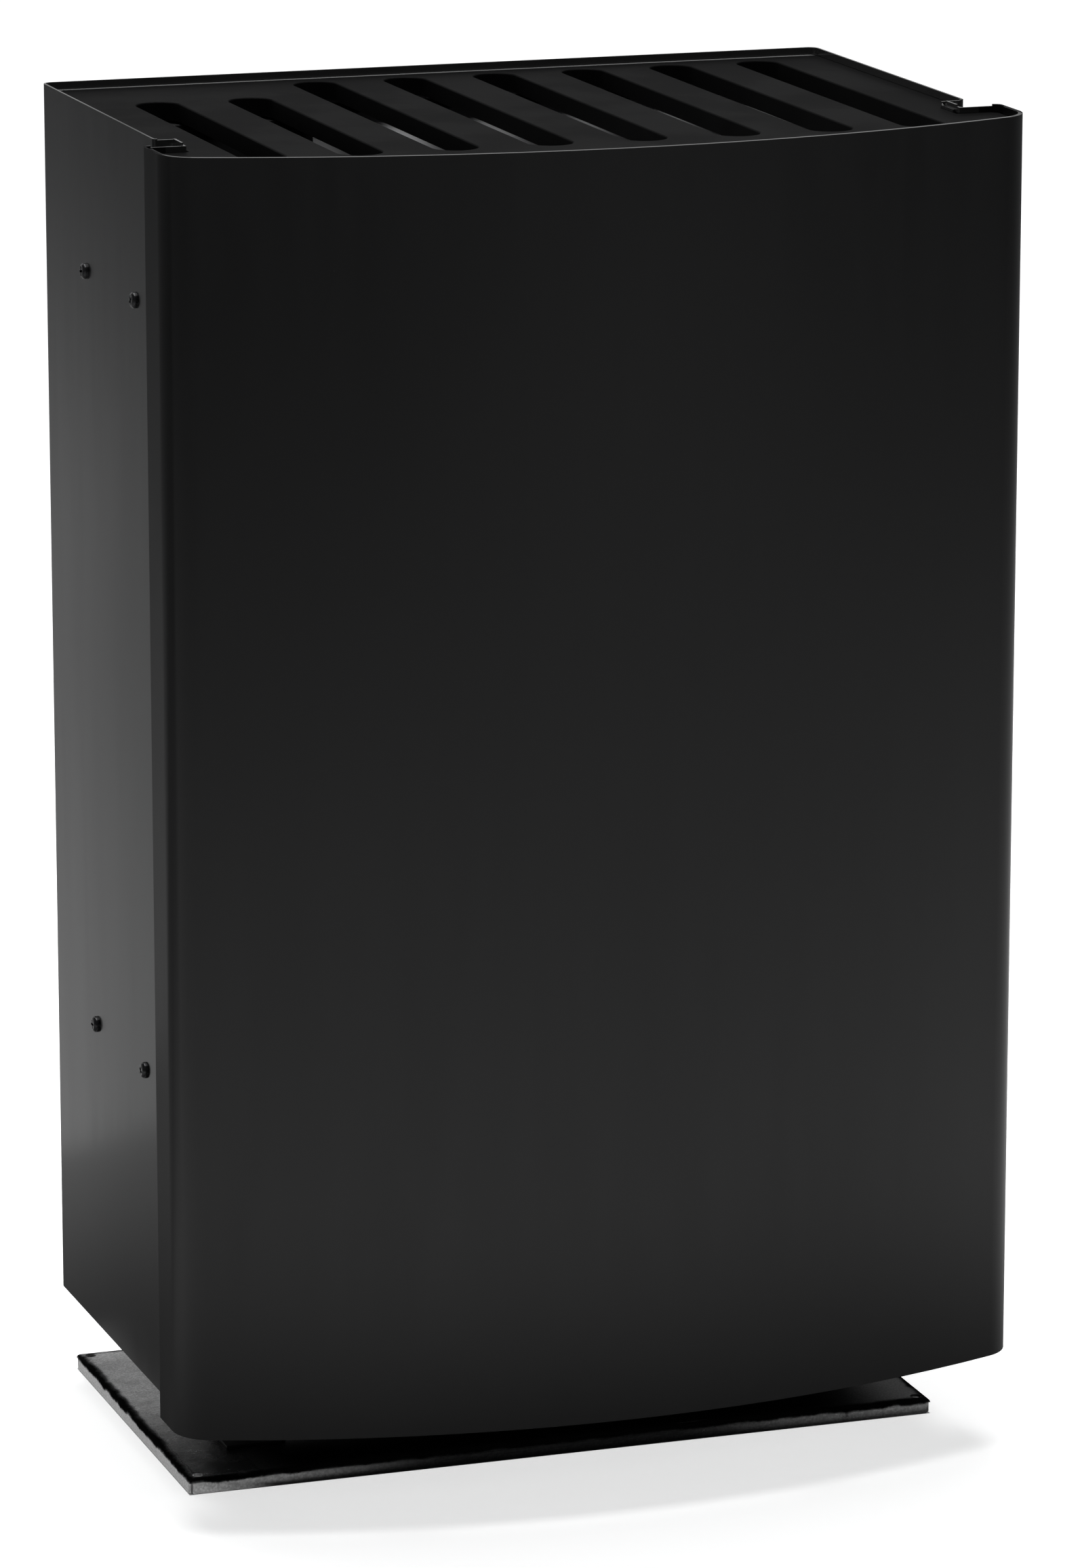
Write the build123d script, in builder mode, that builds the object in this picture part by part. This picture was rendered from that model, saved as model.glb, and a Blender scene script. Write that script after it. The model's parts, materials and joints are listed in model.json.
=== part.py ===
from build123d import *
import os
from math import cos, radians, sin, sqrt

# Free-standing air purifier with a folded steel body on a low floor plate.
# Millimetres, Z up, front towards -Y, origin on the floor under the middle of the outline.
os.makedirs("parts", exist_ok=True)

# Overall sizes
cover_width = 480.0
cover_depth = 89.0
overall_height = 745.0
body_lift = 54.0

# Sheet, clearances and fasteners
sheet = 1.2
base_sheet = 1.5
stand_sheet = 2.0
fit_gap = 0.3
lap_gap = 0.2
running_gap = 0.05
screw_radius = 2.0
screw_clearance = 0.15
head_height = 3.0
screw_past = 1.5
rivet_radius = 1.6

# Floor plate
base_inset = 10.5
base_depth = 234.0
base_height = 8.5
base_bend = 2.5
base_hole_radius = 3.1
base_hole_inset = 6.5
base_seam = 2.2

# Stand rails between the floor plate and the body
stand_inset = 78.0
stand_flange = 34.0
stand_length = 150.0
stand_screw_pitch = 110.0

# Body floor
pan_rise = 1.0
pan_rim = 7.0

# Housing wrap
cover_overhang = 12.0
housing_depth = 225.0
rear_setback = 7.0
rear_bend = 6.0
front_bend = 2.0
front_flange = 10.5
flange_drop = 0.6
groove_width = 21.0
lap_length = 16.0

# Bowed front cover
bow_radius = 658.0
cover_corner = 23.0
return_bend = 4.5
tab_bend = 2.5
return_drop = 1.0
relief_width = 1.7
relief_depth = 2.7
stiffener_spread = 110.0
stiffener_width = 30.0
stiffener_depth = 14.0
rivet_count = 4
rivet_margin = 60.0

# Top grille
grille_drop = 4.2
grille_sheet = 2.5
grille_edge = 0.9
collar_depth = 10.0
collar_wall = 2.0
slot_count = 8
slot_width = 24.4
slot_side_margin = 19.3
slot_rear_margin = 14.0
slot_front_margin = 48.0
short_slot_count = 2
short_slot_cut = 50.0
ear_corner = 6.0
ledge_width = 10.0
ledge_height = 12.0
ledge_sheet = 1.2

# Fan section
panel_head = 18.0
panel_flange = 20.0
screw_row_lift = 177.0
screw_row_drop = 91.0
deck_screw_back = 88.0
motor_screw_inset = 38.0
panel_edge = 8.0
fan_lift = 296.0
throat_radius = 86.0
bell_radius = 12.0
bell_wall = 2.0
bell_flange = 12.0
throat_length = 9.0
eye_clearance = 3.0
impeller_radius = 130.0
impeller_wall = 2.0
blade_count = 9
blade_wall = 2.6
blade_sweep = 46.0
shroud_fall = 13.0
eye_overlap = 4.0
hub_radius = 11.0
hub_cone_gap = 16.0
hub_cone_height = 25.0
hub_length = 16.0
motor_radius = 46.0
motor_length = 38.0
shaft_radius = 4.0
grommet_circle = 32.0
grommet_radius = 5.6
grommet_flange = 2.0
grommet_lip = 2.0
motor_screw_grip = 10.0
spider_inner = 60.0
spider_outer = 148.0
spider_arm = 42.0
vent_width = 150.0
vent_height = 90.0

# Filter chamber
sill_height = 20.0
filter_side = 20.0
filter_top_gap = 8.5
filter_rear_gap = 6.0
filter_wall = 4.0
filter_bar = 6.0
bar_columns = 4
bar_rows = 7
seal_thickness = 3.8
seal_width = 12.0
pleat_lip = 6.0
pleat_pitch = 12.4
pleat_wall = 4.0
mat_gap = 2.0
mat_thickness = 12.0
guide_depth = 45.0
strap_width = 25.0
strap_thickness = 1.2

# Rear door
door_side = 18.0
door_head = 23.3
door_sill = 28.0
door_gap = 2.0
door_return = 12.0
door_pin_inset = 5.0
door_pin_depth = 6.0
door_pin_radius = 2.0
door_pin_head = 3.0
door_slot_width = 9.0
door_slot_columns = 13
door_slot_rows = 3
door_slot_side = 42.0
door_slot_end = 31.5
door_slot_bridge = 22.0
finger_radius = 14.0
magnet_width = 12.0
magnet_height = 24.0

# Control box at the rear
box_width = 125.0
box_top_gap = 1.5
box_height = 67.0
box_wall = 2.0
cup_width = 92.0
cup_height = 48.0
cup_depth = 24.0
cup_wall = 2.0
cup_lip = 6.0
cup_lip_sheet = 1.4
knob_radius = 14.0
knob_length = 15.0
knob_offset = 22.0
stem_radius = 3.0
switch_size = 24.0
switch_depth = 16.0
inlet_width = 24.5
inlet_height = 16.5
inlet_depth = 17.0
inlet_wall = 2.0
inlet_offset = 20.0
board_sheet = 1.6
capacitor_radius = 20.0
capacitor_length = 60.0
conduit_radius = 3.0
conduit_bend = 25.0
conduit_side = 30.0

# Places that follow from the sizes above
overall_depth = cover_depth + groove_width + housing_depth + rear_setback
housing_width = cover_width - 2 * cover_overhang
base_width = housing_width - 2 * base_inset
stand_spread = housing_width / 2 - stand_inset
base_rear = overall_depth / 2
base_mid = base_rear - base_depth / 2
housing_rear = base_rear - rear_setback
housing_front = housing_rear - housing_depth
housing_mid = (housing_rear + housing_front) / 2
housing_in = housing_width / 2 - sheet
rear_in = housing_rear - sheet
body_height = overall_height - body_lift
hem_height = grille_drop + 0.8 * grille_sheet
cover_front = -overall_depth / 2
cover_rear = housing_front - groove_width
bow_centre = cover_front + bow_radius
tab_x = housing_width / 2 - front_flange
leg_x = tab_x - sheet - lap_gap
tab_rear = housing_front - lap_gap
rivet_y = (housing_front + cover_rear) / 2
rivet_low = body_lift + rivet_margin
rivet_step = (body_height - 2 * rivet_margin) / (rivet_count - 1)
grille_top = overall_height - grille_drop
grille_under = grille_top - grille_sheet
collar_bottom = grille_top - collar_depth
neck_x = leg_x - sheet - fit_gap
slot_pitch = (2 * (neck_x - slot_side_margin) - slot_width) / (slot_count - 1)
slot_front = cover_front + slot_front_margin
slot_rear = rear_in - slot_rear_margin
pan_bottom = body_lift + pan_rise
pan_top = pan_bottom + sheet
screw_row_low = body_lift + screw_row_lift
screw_row_high = overall_height - screw_row_drop
panel_top = screw_row_high + panel_head
fan_height = body_lift + fan_lift
deck_screw_y = housing_rear - deck_screw_back
motor_screw_y = housing_front + motor_screw_inset
deck_rear = deck_screw_y + panel_edge
deck_front = deck_rear - sheet
motor_panel_front = motor_screw_y - panel_edge
motor_panel_rear = motor_panel_front + sheet
panel_x = housing_in - fit_gap
motor_front = motor_panel_rear + grommet_flange
motor_rear = motor_front + motor_length
ring_rear = deck_rear + bell_wall
bell_centre_y = ring_rear - bell_radius
throat_front = bell_centre_y - throat_length
eye_radius = throat_radius + bell_wall + eye_clearance
blade_front = motor_rear
blade_rear_eye = throat_front + eye_overlap
blade_rear_outer = blade_rear_eye - shroud_fall
hub_top = blade_front + hub_cone_height
hub_cone_radius = motor_radius + hub_cone_gap
box_top = collar_bottom - box_top_gap
box_bottom = box_top - box_height
door_width = housing_width - 2 * door_side
door_bottom = body_lift + door_sill
door_top = box_bottom - door_head
door_height = door_top - door_bottom
door_middle = (door_bottom + door_top) / 2
door_x = door_width / 2
door_slot_length = (door_height - 2 * door_slot_end + door_slot_bridge) / door_slot_rows - door_slot_bridge
door_slot_pitch_x = (door_width - 2 * door_slot_side) / (door_slot_columns - 1)
door_slot_pitch_z = door_slot_length + door_slot_bridge
opening_bottom = door_bottom - door_gap
opening_top = door_top + door_gap
opening_x = door_x + door_gap
pin_x = door_x - door_pin_inset
pin_y = housing_rear - door_pin_depth
seal_front = deck_rear
filter_front = seal_front + seal_thickness + lap_gap
filter_rear = housing_rear - door_return - filter_rear_gap
filter_depth = filter_rear - filter_front
filter_width = door_width - 2 * filter_side
filter_x = filter_width / 2
sill_top = pan_top + sill_height
filter_bottom = sill_top + fit_gap
filter_top = opening_top - filter_top_gap
filter_height = filter_top - filter_bottom
filter_middle = (filter_bottom + filter_top) / 2
bar_pitch = filter_height / (bar_rows + 1)
mat_rear = filter_rear - filter_wall
mat_front = mat_rear - mat_thickness
pleat_rear = mat_front - mat_gap
pleat_front = filter_front + pleat_lip
guide_x = filter_x + 2 * fit_gap
guide_front = filter_front + 5
guide_rear = guide_front + guide_depth
post_rear = filter_rear + 2.0
box_left = rear_bend - housing_in
box_right = box_left + box_width
box_front = deck_rear + 2.0
cup_x = (box_left + box_right) / 2
cup_z = (box_top + box_bottom) / 2
cup_floor_front = housing_rear - cup_depth
cup_floor_rear = cup_floor_front + cup_wall
knob_x = cup_x - knob_offset
inlet_x = cup_x + inlet_offset
board_rear = cup_floor_front - switch_depth
stand_top = pan_bottom


def upright(y):
    """Sketch plane across the body at depth y: sketch x is X, sketch y is Z, extrude runs forward."""
    return Plane.XZ.offset(-y)


def turned():
    """Sketch plane through the fan axis: sketch x is the radius, sketch y is Y."""
    return Plane(origin=(0, 0, fan_height), x_dir=(1, 0, 0), z_dir=(0, 0, 1))


fan_axis = Axis((0, 0, fan_height), (0, 1, 0))


def bowed_plan(inset, rear, corner):
    """Outline of the bowed front, moved in by inset and cut straight at rear."""
    with BuildSketch(Plane.XY, mode=Mode.PRIVATE) as plan:
        with Locations((0, bow_centre)):
            Circle(bow_radius - inset)
        with Locations((0, rear)):
            Rectangle(
                cover_width - 2 * inset,
                rear - cover_front + 20,
                align=(Align.CENTER, Align.MAX),
                mode=Mode.INTERSECT,
            )
        fillet(plan.vertices().group_by(Axis.Y)[0], corner)
    return plan.sketch


def slot_places():
    """Centre x and rear end of every outlet slot, the short ones first from the left."""
    places = []
    for index in range(slot_count):
        x = (index - (slot_count - 1) / 2) * slot_pitch
        rear = slot_rear - short_slot_cut if index < short_slot_count else slot_rear
        places.append((x, rear))
    return places


stand_screw_places = []
for stand_sign in (-1, 1):
    for pitch_sign in (-1, 1):
        stand_screw_places.append(
            (
                stand_sign * (stand_spread + stand_flange / 2 + stand_sheet),
                base_mid + pitch_sign * stand_screw_pitch / 2,
            )
        )

rivet_levels = [rivet_low + index * rivet_step for index in range(rivet_count)]

# Floor plate: a shallow folded tray turned upside down, its corner seams left open
with BuildPart() as base_plate:
    with Locations((0, base_mid, 0)):
        Box(base_width, base_depth, base_height, align=(Align.CENTER, Align.CENTER, Align.MIN))
    fillet(base_plate.edges().group_by(Axis.Z)[-1], base_bend)
    with Locations((0, base_mid, 0)):
        Box(
            base_width - 2 * base_sheet,
            base_depth - 2 * base_sheet,
            base_height - base_sheet,
            align=(Align.CENTER, Align.CENTER, Align.MIN),
            mode=Mode.SUBTRACT,
        )
    with Locations((0, base_mid, 0)):
        with GridLocations(base_width - base_seam, base_depth - base_seam, 2, 2):
            Box(
                base_seam,
                base_seam,
                base_height - base_bend,
                align=(Align.CENTER, Align.CENTER, Align.MIN),
                mode=Mode.SUBTRACT,
            )
    with BuildSketch(Plane.XY.offset(base_height)):
        with Locations((0, base_mid)):
            with GridLocations(base_width - 2 * base_hole_inset, base_depth - 2 * base_hole_inset, 2, 2):
                Circle(base_hole_radius)
        with Locations(*stand_screw_places):
            Circle(screw_radius + screw_clearance)
    extrude(amount=-base_height, mode=Mode.SUBTRACT)
base_plate.part.label = "base_plate"
export_step(base_plate.part, "parts/base_plate.step")

# Stand rails: folded channels that carry the body clear of the floor plate
for name, side in (("stand_left", -1), ("stand_right", 1)):
    flange_mid = side * (stand_spread + stand_flange / 2)
    with BuildPart() as stand:
        with BuildSketch(upright(base_mid + stand_length / 2)):
            with Locations((side * (stand_spread + stand_sheet / 2), (base_height + stand_top) / 2)):
                Rectangle(stand_sheet, stand_top - base_height)
            with Locations(
                (flange_mid, base_height + stand_sheet / 2),
                (flange_mid, stand_top - stand_sheet / 2),
            ):
                Rectangle(stand_flange, stand_sheet)
        extrude(amount=stand_length)
        with BuildSketch(Plane.XY.offset(base_height)):
            with Locations(*stand_screw_places):
                Circle(screw_radius + running_gap)
        extrude(amount=stand_top - base_height, mode=Mode.SUBTRACT)
    stand.part.label = name
    export_step(stand.part, f"parts/{name}.step")

# Screws of the stand: four up through the floor plate, four up into the body floor
with BuildPart() as stand_screws:
    for head_top, reach in (
        (base_height - base_sheet, base_sheet + stand_sheet + screw_past),
        (stand_top - stand_sheet, stand_sheet + sheet + screw_past),
    ):
        with BuildSketch(Plane.XY.offset(head_top - head_height)):
            with Locations(*stand_screw_places):
                Circle(2 * screw_radius)
        extrude(amount=head_height)
        with BuildSketch(Plane.XY.offset(head_top)):
            with Locations(*stand_screw_places):
                Circle(screw_radius)
        extrude(amount=reach)
stand_screws.part.label = "stand_screws"
export_step(stand_screws.part, "parts/stand_screws.step")

# Body floor: a pan with a rim folded up along its front and rear
with BuildPart() as bottom_pan:
    with BuildSketch(Plane.XY.offset(pan_bottom)) as pan_plan:
        with Locations((0, housing_mid)):
            Rectangle(2 * panel_x, housing_depth - 2 * (sheet + fit_gap))
        fillet(pan_plan.vertices().group_by(Axis.Y)[-1], rear_bend - sheet)
    extrude(amount=sheet)
    with BuildSketch(Plane.XY.offset(pan_top)):
        with Locations(
            (0, housing_front + sheet + fit_gap + sheet / 2),
            (0, rear_in - fit_gap - sheet / 2),
        ):
            Rectangle(2 * (panel_x - rear_bend), sheet)
    extrude(amount=pan_rim)
    with BuildSketch(Plane.XY.offset(pan_bottom)):
        with Locations(*stand_screw_places):
            Circle(screw_radius + running_gap)
    extrude(amount=sheet, mode=Mode.SUBTRACT)
bottom_pan.part.label = "bottom_pan"
export_step(bottom_pan.part, "parts/bottom_pan.step")

# Housing wrap: sides and rear in one sheet, flanged in at the front with legs for the cover
with BuildPart() as housing_wrap:
    with BuildSketch(Plane.XY.offset(body_lift)) as wrap_plan:
        with Locations((0, housing_mid)):
            Rectangle(housing_width, housing_depth)
        fillet(wrap_plan.vertices().group_by(Axis.Y)[-1], rear_bend)
        fillet(wrap_plan.vertices().group_by(Axis.Y)[0], front_bend)
    extrude(amount=body_height)
    with BuildSketch(Plane.XY.offset(body_lift)) as wrap_void:
        with Locations((0, housing_mid)):
            Rectangle(2 * housing_in, housing_depth - 2 * sheet)
        fillet(wrap_void.vertices().group_by(Axis.Y)[-1], rear_bend - sheet)
        fillet(wrap_void.vertices().group_by(Axis.Y)[0], front_bend - sheet)
        with Locations((0, housing_front)):
            Rectangle(2 * (leg_x - sheet), 4 * sheet)
    extrude(amount=body_height, mode=Mode.SUBTRACT)
    with BuildSketch(Plane.XY.offset(body_lift)):
        for side in (-1, 1):
            with Locations((side * (leg_x - sheet / 2), housing_front + sheet)):
                Rectangle(sheet, lap_length + sheet, align=(Align.CENTER, Align.MAX))
    extrude(amount=body_height - relief_depth)
    for side in (-1, 1):
        with Locations((side * (leg_x - sheet), housing_front, overall_height)):
            Box(
                2 * (housing_in - leg_x),
                4 * sheet,
                2 * flange_drop,
                mode=Mode.SUBTRACT,
            )
    with BuildSketch(upright(housing_rear)):
        with Locations((0, (opening_bottom + opening_top) / 2)):
            RectangleRounded(2 * opening_x, opening_top - opening_bottom, 3)
        with Locations((cup_x, cup_z)):
            RectangleRounded(cup_width + 2 * fit_gap, cup_height + 2 * fit_gap, 4)
        with Locations((cup_x, cup_z)):
            with GridLocations(cup_width + cup_lip, 0, 2, 1):
                Circle(screw_radius * 0.75 + running_gap)
    extrude(amount=2 * sheet, mode=Mode.SUBTRACT)
    with BuildSketch(Plane.YZ.offset(-housing_width)):
        for level in (screw_row_low, screw_row_high):
            with Locations((deck_screw_y, level), (motor_screw_y, level)):
                Circle(screw_radius + screw_clearance)
        for level in rivet_levels:
            with Locations((rivet_y, level)):
                Circle(rivet_radius + running_gap)
    extrude(amount=2 * housing_width, mode=Mode.SUBTRACT)
housing_wrap.part.label = "housing_wrap"
export_step(housing_wrap.part, "parts/housing_wrap.step")

# Front cover: one bowed sheet, rounded at the corners, returned behind each side and folded back
cover_outer = bowed_plan(0, cover_rear, cover_corner)
cover_inner = bowed_plan(sheet, cover_rear - sheet, cover_corner - sheet)
hem_inner = bowed_plan(2 * sheet, cover_rear - sheet, cover_corner - 2 * sheet)
with BuildPart() as front_cover:
    with BuildSketch(Plane.XY.offset(body_lift)) as cover_plan:
        add(cover_outer)
        fillet(cover_plan.vertices().group_by(Axis.Y)[-1], return_bend)
    extrude(amount=body_height)
    with BuildSketch(Plane.XY.offset(body_lift)) as cover_void:
        add(cover_inner)
        fillet(cover_void.vertices().group_by(Axis.Y)[-1], return_bend - sheet)
        with Locations((0, cover_rear)):
            Rectangle(2 * (tab_x - sheet), 6 * sheet)
    extrude(amount=body_height, mode=Mode.SUBTRACT)
    with BuildSketch(Plane.XY.offset(body_lift)):
        for side in (-1, 1):
            with Locations((side * (tab_x - sheet / 2), tab_rear)):
                Rectangle(sheet, tab_rear - cover_rear + sheet, align=(Align.CENTER, Align.MAX))
    extrude(amount=body_height)
    tab_edges = front_cover.edges().filter_by(Axis.Z).filter_by(
        lambda edge: abs(edge.center().Y - cover_rear) < 0.01 and abs(abs(edge.center().X) - tab_x) < 0.01
    )
    fillet(tab_edges, tab_bend)
    with BuildSketch(Plane.XY.offset(overall_height - hem_height)):
        add(cover_inner)
        add(hem_inner, mode=Mode.SUBTRACT)
        with Locations((0, cover_rear)):
            Rectangle(cover_width, 2 * return_bend + 2 * hem_height, mode=Mode.SUBTRACT)
    extrude(amount=hem_height)
    for side in (-1, 1):
        with Locations((side * tab_x, cover_rear, overall_height)):
            Box(
                2 * (cover_width / 2 - tab_x - return_bend),
                2 * return_bend,
                2 * return_drop,
                mode=Mode.SUBTRACT,
            )
        with Locations((side * tab_x, tab_rear, overall_height)):
            Box(4 * sheet, 2 * relief_width, 2 * relief_depth, mode=Mode.SUBTRACT)
    with BuildSketch(Plane.YZ.offset(-cover_width)):
        for level in rivet_levels:
            with Locations((rivet_y, level)):
                Circle(rivet_radius + running_gap)
    extrude(amount=2 * cover_width, mode=Mode.SUBTRACT)
front_cover.part.label = "front_cover"
export_step(front_cover.part, "parts/front_cover.step")

# Rivets in the grooves that join the cover's folded edge to the legs of the housing
with BuildPart() as cover_rivets:
    for side in (-1, 1):
        with BuildSketch(Plane.YZ.offset(side * tab_x)):
            for level in rivet_levels:
                with Locations((rivet_y, level)):
                    Circle(2 * rivet_radius)
        extrude(amount=side * 1.0)
        with BuildSketch(Plane.YZ.offset(side * tab_x)):
            for level in rivet_levels:
                with Locations((rivet_y, level)):
                    Circle(rivet_radius)
        extrude(amount=-side * (2 * sheet + lap_gap))
        with BuildSketch(Plane.YZ.offset(side * (leg_x - sheet))):
            for level in rivet_levels:
                with Locations((rivet_y, level)):
                    Circle(1.6 * rivet_radius)
        extrude(amount=-side * 1.6)
cover_rivets.part.label = "cover_rivets"
export_step(cover_rivets.part, "parts/cover_rivets.step")

# Channels behind the bowed sheet that stiffen it and carry the front of the grille
with BuildPart() as cover_stiffeners:
    for side in (-1, 1):
        arc_y = bow_centre - sqrt((bow_radius - sheet) ** 2 - stiffener_spread ** 2)
        with BuildSketch(Plane.XY.offset(body_lift + 8)):
            add(bowed_plan(sheet + lap_gap, cover_rear, cover_corner - sheet))
            with Locations((side * stiffener_spread, arc_y - 20)):
                Rectangle(
                    stiffener_width,
                    stiffener_depth + 20,
                    align=(Align.CENTER, Align.MIN),
                    mode=Mode.INTERSECT,
                )
            with Locations((side * stiffener_spread, arc_y - 20)):
                Rectangle(
                    stiffener_width - 2 * sheet,
                    stiffener_depth + 20 - sheet,
                    align=(Align.CENTER, Align.MIN),
                    mode=Mode.SUBTRACT,
                )
        extrude(amount=grille_under - body_lift - 8)
cover_stiffeners.part.label = "cover_stiffeners"
export_step(cover_stiffeners.part, "parts/cover_stiffeners.step")

# Top grille: sunk plate that narrows past the grooves, with eight collared outlet slots
ear_plan = bowed_plan(2 * sheet + fit_gap, cover_rear - sheet - fit_gap, cover_corner - 2 * sheet)
with BuildPart() as top_grille:
    with BuildSketch(Plane.XY.offset(grille_under)) as grille_plan:
        add(ear_plan)
        fillet(grille_plan.vertices().group_by(Axis.Y)[-1], ear_corner)
        with Locations((0, cover_rear - 20)):
            Rectangle(
                2 * neck_x,
                housing_front + sheet + fit_gap - cover_rear + 25,
                align=(Align.CENTER, Align.MIN),
            )
    extrude(amount=grille_sheet)
    with BuildSketch(Plane.XY.offset(grille_under)) as rear_plan:
        with Locations((0, housing_front + sheet + fit_gap)):
            Rectangle(
                2 * panel_x,
                housing_depth - 2 * (sheet + fit_gap),
                align=(Align.CENTER, Align.MIN),
            )
        fillet(rear_plan.vertices().group_by(Axis.Y)[-1], rear_bend - sheet)
    extrude(amount=grille_sheet)
    with BuildSketch(Plane.XY.offset(grille_under)):
        for slot_x, slot_end in slot_places():
            with Locations((slot_x, (slot_front + slot_end) / 2)):
                SlotOverall(
                    slot_end - slot_front + 2 * collar_wall,
                    slot_width + 2 * collar_wall,
                    rotation=90,
                )
    extrude(amount=grille_sheet - collar_depth)
    with BuildSketch(Plane.XY.offset(grille_top)):
        for slot_x, slot_end in slot_places():
            with Locations((slot_x, (slot_front + slot_end) / 2)):
                SlotOverall(slot_end - slot_front, slot_width, rotation=90)
    extrude(amount=-collar_depth, mode=Mode.SUBTRACT)
    grille_face = top_grille.faces().sort_by(Axis.Z)[-1]
    slot_edges = [edge for wire in grille_face.inner_wires() for edge in wire.edges()]
    fillet(slot_edges, grille_edge)
top_grille.part.label = "top_grille"
export_step(top_grille.part, "parts/top_grille.step")

# Ledges inside the housing that the grille lies on
with BuildPart() as grille_ledges:
    for side in (-1, 1):
        with BuildSketch(upright(deck_front)):
            with Locations((side * (housing_in - sheet / 2), grille_under - ledge_height / 2)):
                Rectangle(ledge_sheet, ledge_height)
            with Locations((side * (housing_in - ledge_width / 2), grille_under - ledge_sheet / 2)):
                Rectangle(ledge_width, ledge_sheet)
        extrude(amount=deck_front - housing_front - 10)
    with BuildSketch(Plane.YZ.offset(box_right + 6)):
        with Locations((rear_in - ledge_sheet / 2, grille_under - ledge_height / 2)):
            Rectangle(ledge_sheet, ledge_height)
        with Locations((rear_in - ledge_width / 2, grille_under - ledge_sheet / 2)):
            Rectangle(ledge_width, ledge_sheet)
    extrude(amount=housing_in - rear_bend - box_right - 6)
grille_ledges.part.label = "grille_ledges"
export_step(grille_ledges.part, "parts/grille_ledges.step")

# Outlet deflector: sloped sheet over the filter chamber that turns the air up to the slots
deflector_front = deck_front - 1
deflector_rear = rear_in - fit_gap
deflector_low = panel_top + lap_gap
deflector_high = grille_under - ledge_height - 8
deflector_slope = (deflector_high - deflector_low) / (deflector_rear - deck_rear)
with BuildPart() as outlet_deflector:
    with BuildSketch(Plane.YZ.offset(box_right + 3)):
        with BuildLine():
            Polyline(
                (deflector_front, deflector_low),
                (deck_rear, deflector_low),
                (deflector_rear, deflector_high),
                (deflector_rear, deflector_high + 1.5 * sheet),
                (deck_rear - sheet * deflector_slope / 2, deflector_low + sheet),
                (deflector_front, deflector_low + sheet),
                close=True,
            )
        make_face()
    extrude(amount=housing_in - rear_bend - box_right - 3)
outlet_deflector.part.label = "outlet_deflector"
export_step(outlet_deflector.part, "parts/outlet_deflector.step")

# Fan deck: bulkhead between filter and fan, flanged forward along both sides
with BuildPart() as fan_deck:
    with BuildSketch(Plane.XY.offset(pan_top)):
        with Locations((0, (deck_front + deck_rear) / 2)):
            Rectangle(2 * panel_x, sheet)
        for side in (-1, 1):
            with Locations((side * (panel_x - sheet / 2), deck_rear)):
                Rectangle(sheet, panel_flange, align=(Align.CENTER, Align.MAX))
    extrude(amount=panel_top - pan_top)
    with BuildSketch(upright(deck_rear)):
        with Locations((0, fan_height)):
            Circle(throat_radius + bell_radius + fit_gap)
    extrude(amount=2 * sheet, mode=Mode.SUBTRACT)
    with BuildSketch(Plane.YZ.offset(-housing_width)):
        for level in (screw_row_low, screw_row_high):
            with Locations((deck_screw_y, level)):
                Circle(screw_radius + running_gap)
    extrude(amount=2 * housing_width, mode=Mode.SUBTRACT)
fan_deck.part.label = "fan_deck"
export_step(fan_deck.part, "parts/fan_deck.step")

# Inlet ring: bellmouth on the deck that feeds the eye of the impeller
with BuildPart() as inlet_ring:
    with BuildSketch(turned()):
        with BuildLine():
            inner_throat = Line((throat_radius, throat_front), (throat_radius, bell_centre_y))
            inner_bell = RadiusArc(
                inner_throat @ 1,
                (throat_radius + bell_radius, ring_rear),
                bell_radius,
            )
            flange_back = Line(inner_bell @ 1, (throat_radius + bell_radius + bell_flange, ring_rear))
            flange_edge = Line(flange_back @ 1, (throat_radius + bell_radius + bell_flange, deck_rear))
            flange_seat = Line(flange_edge @ 1, (throat_radius + bell_radius, deck_rear))
            outer_bell = RadiusArc(
                flange_seat @ 1,
                (throat_radius + bell_wall, bell_centre_y),
                -(bell_radius - bell_wall),
            )
            outer_throat = Line(outer_bell @ 1, (throat_radius + bell_wall, throat_front))
            Line(outer_throat @ 1, inner_throat @ 0)
        make_face()
    revolve(axis=fan_axis)
inlet_ring.part.label = "inlet_ring"
export_step(inlet_ring.part, "parts/inlet_ring.step")

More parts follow.
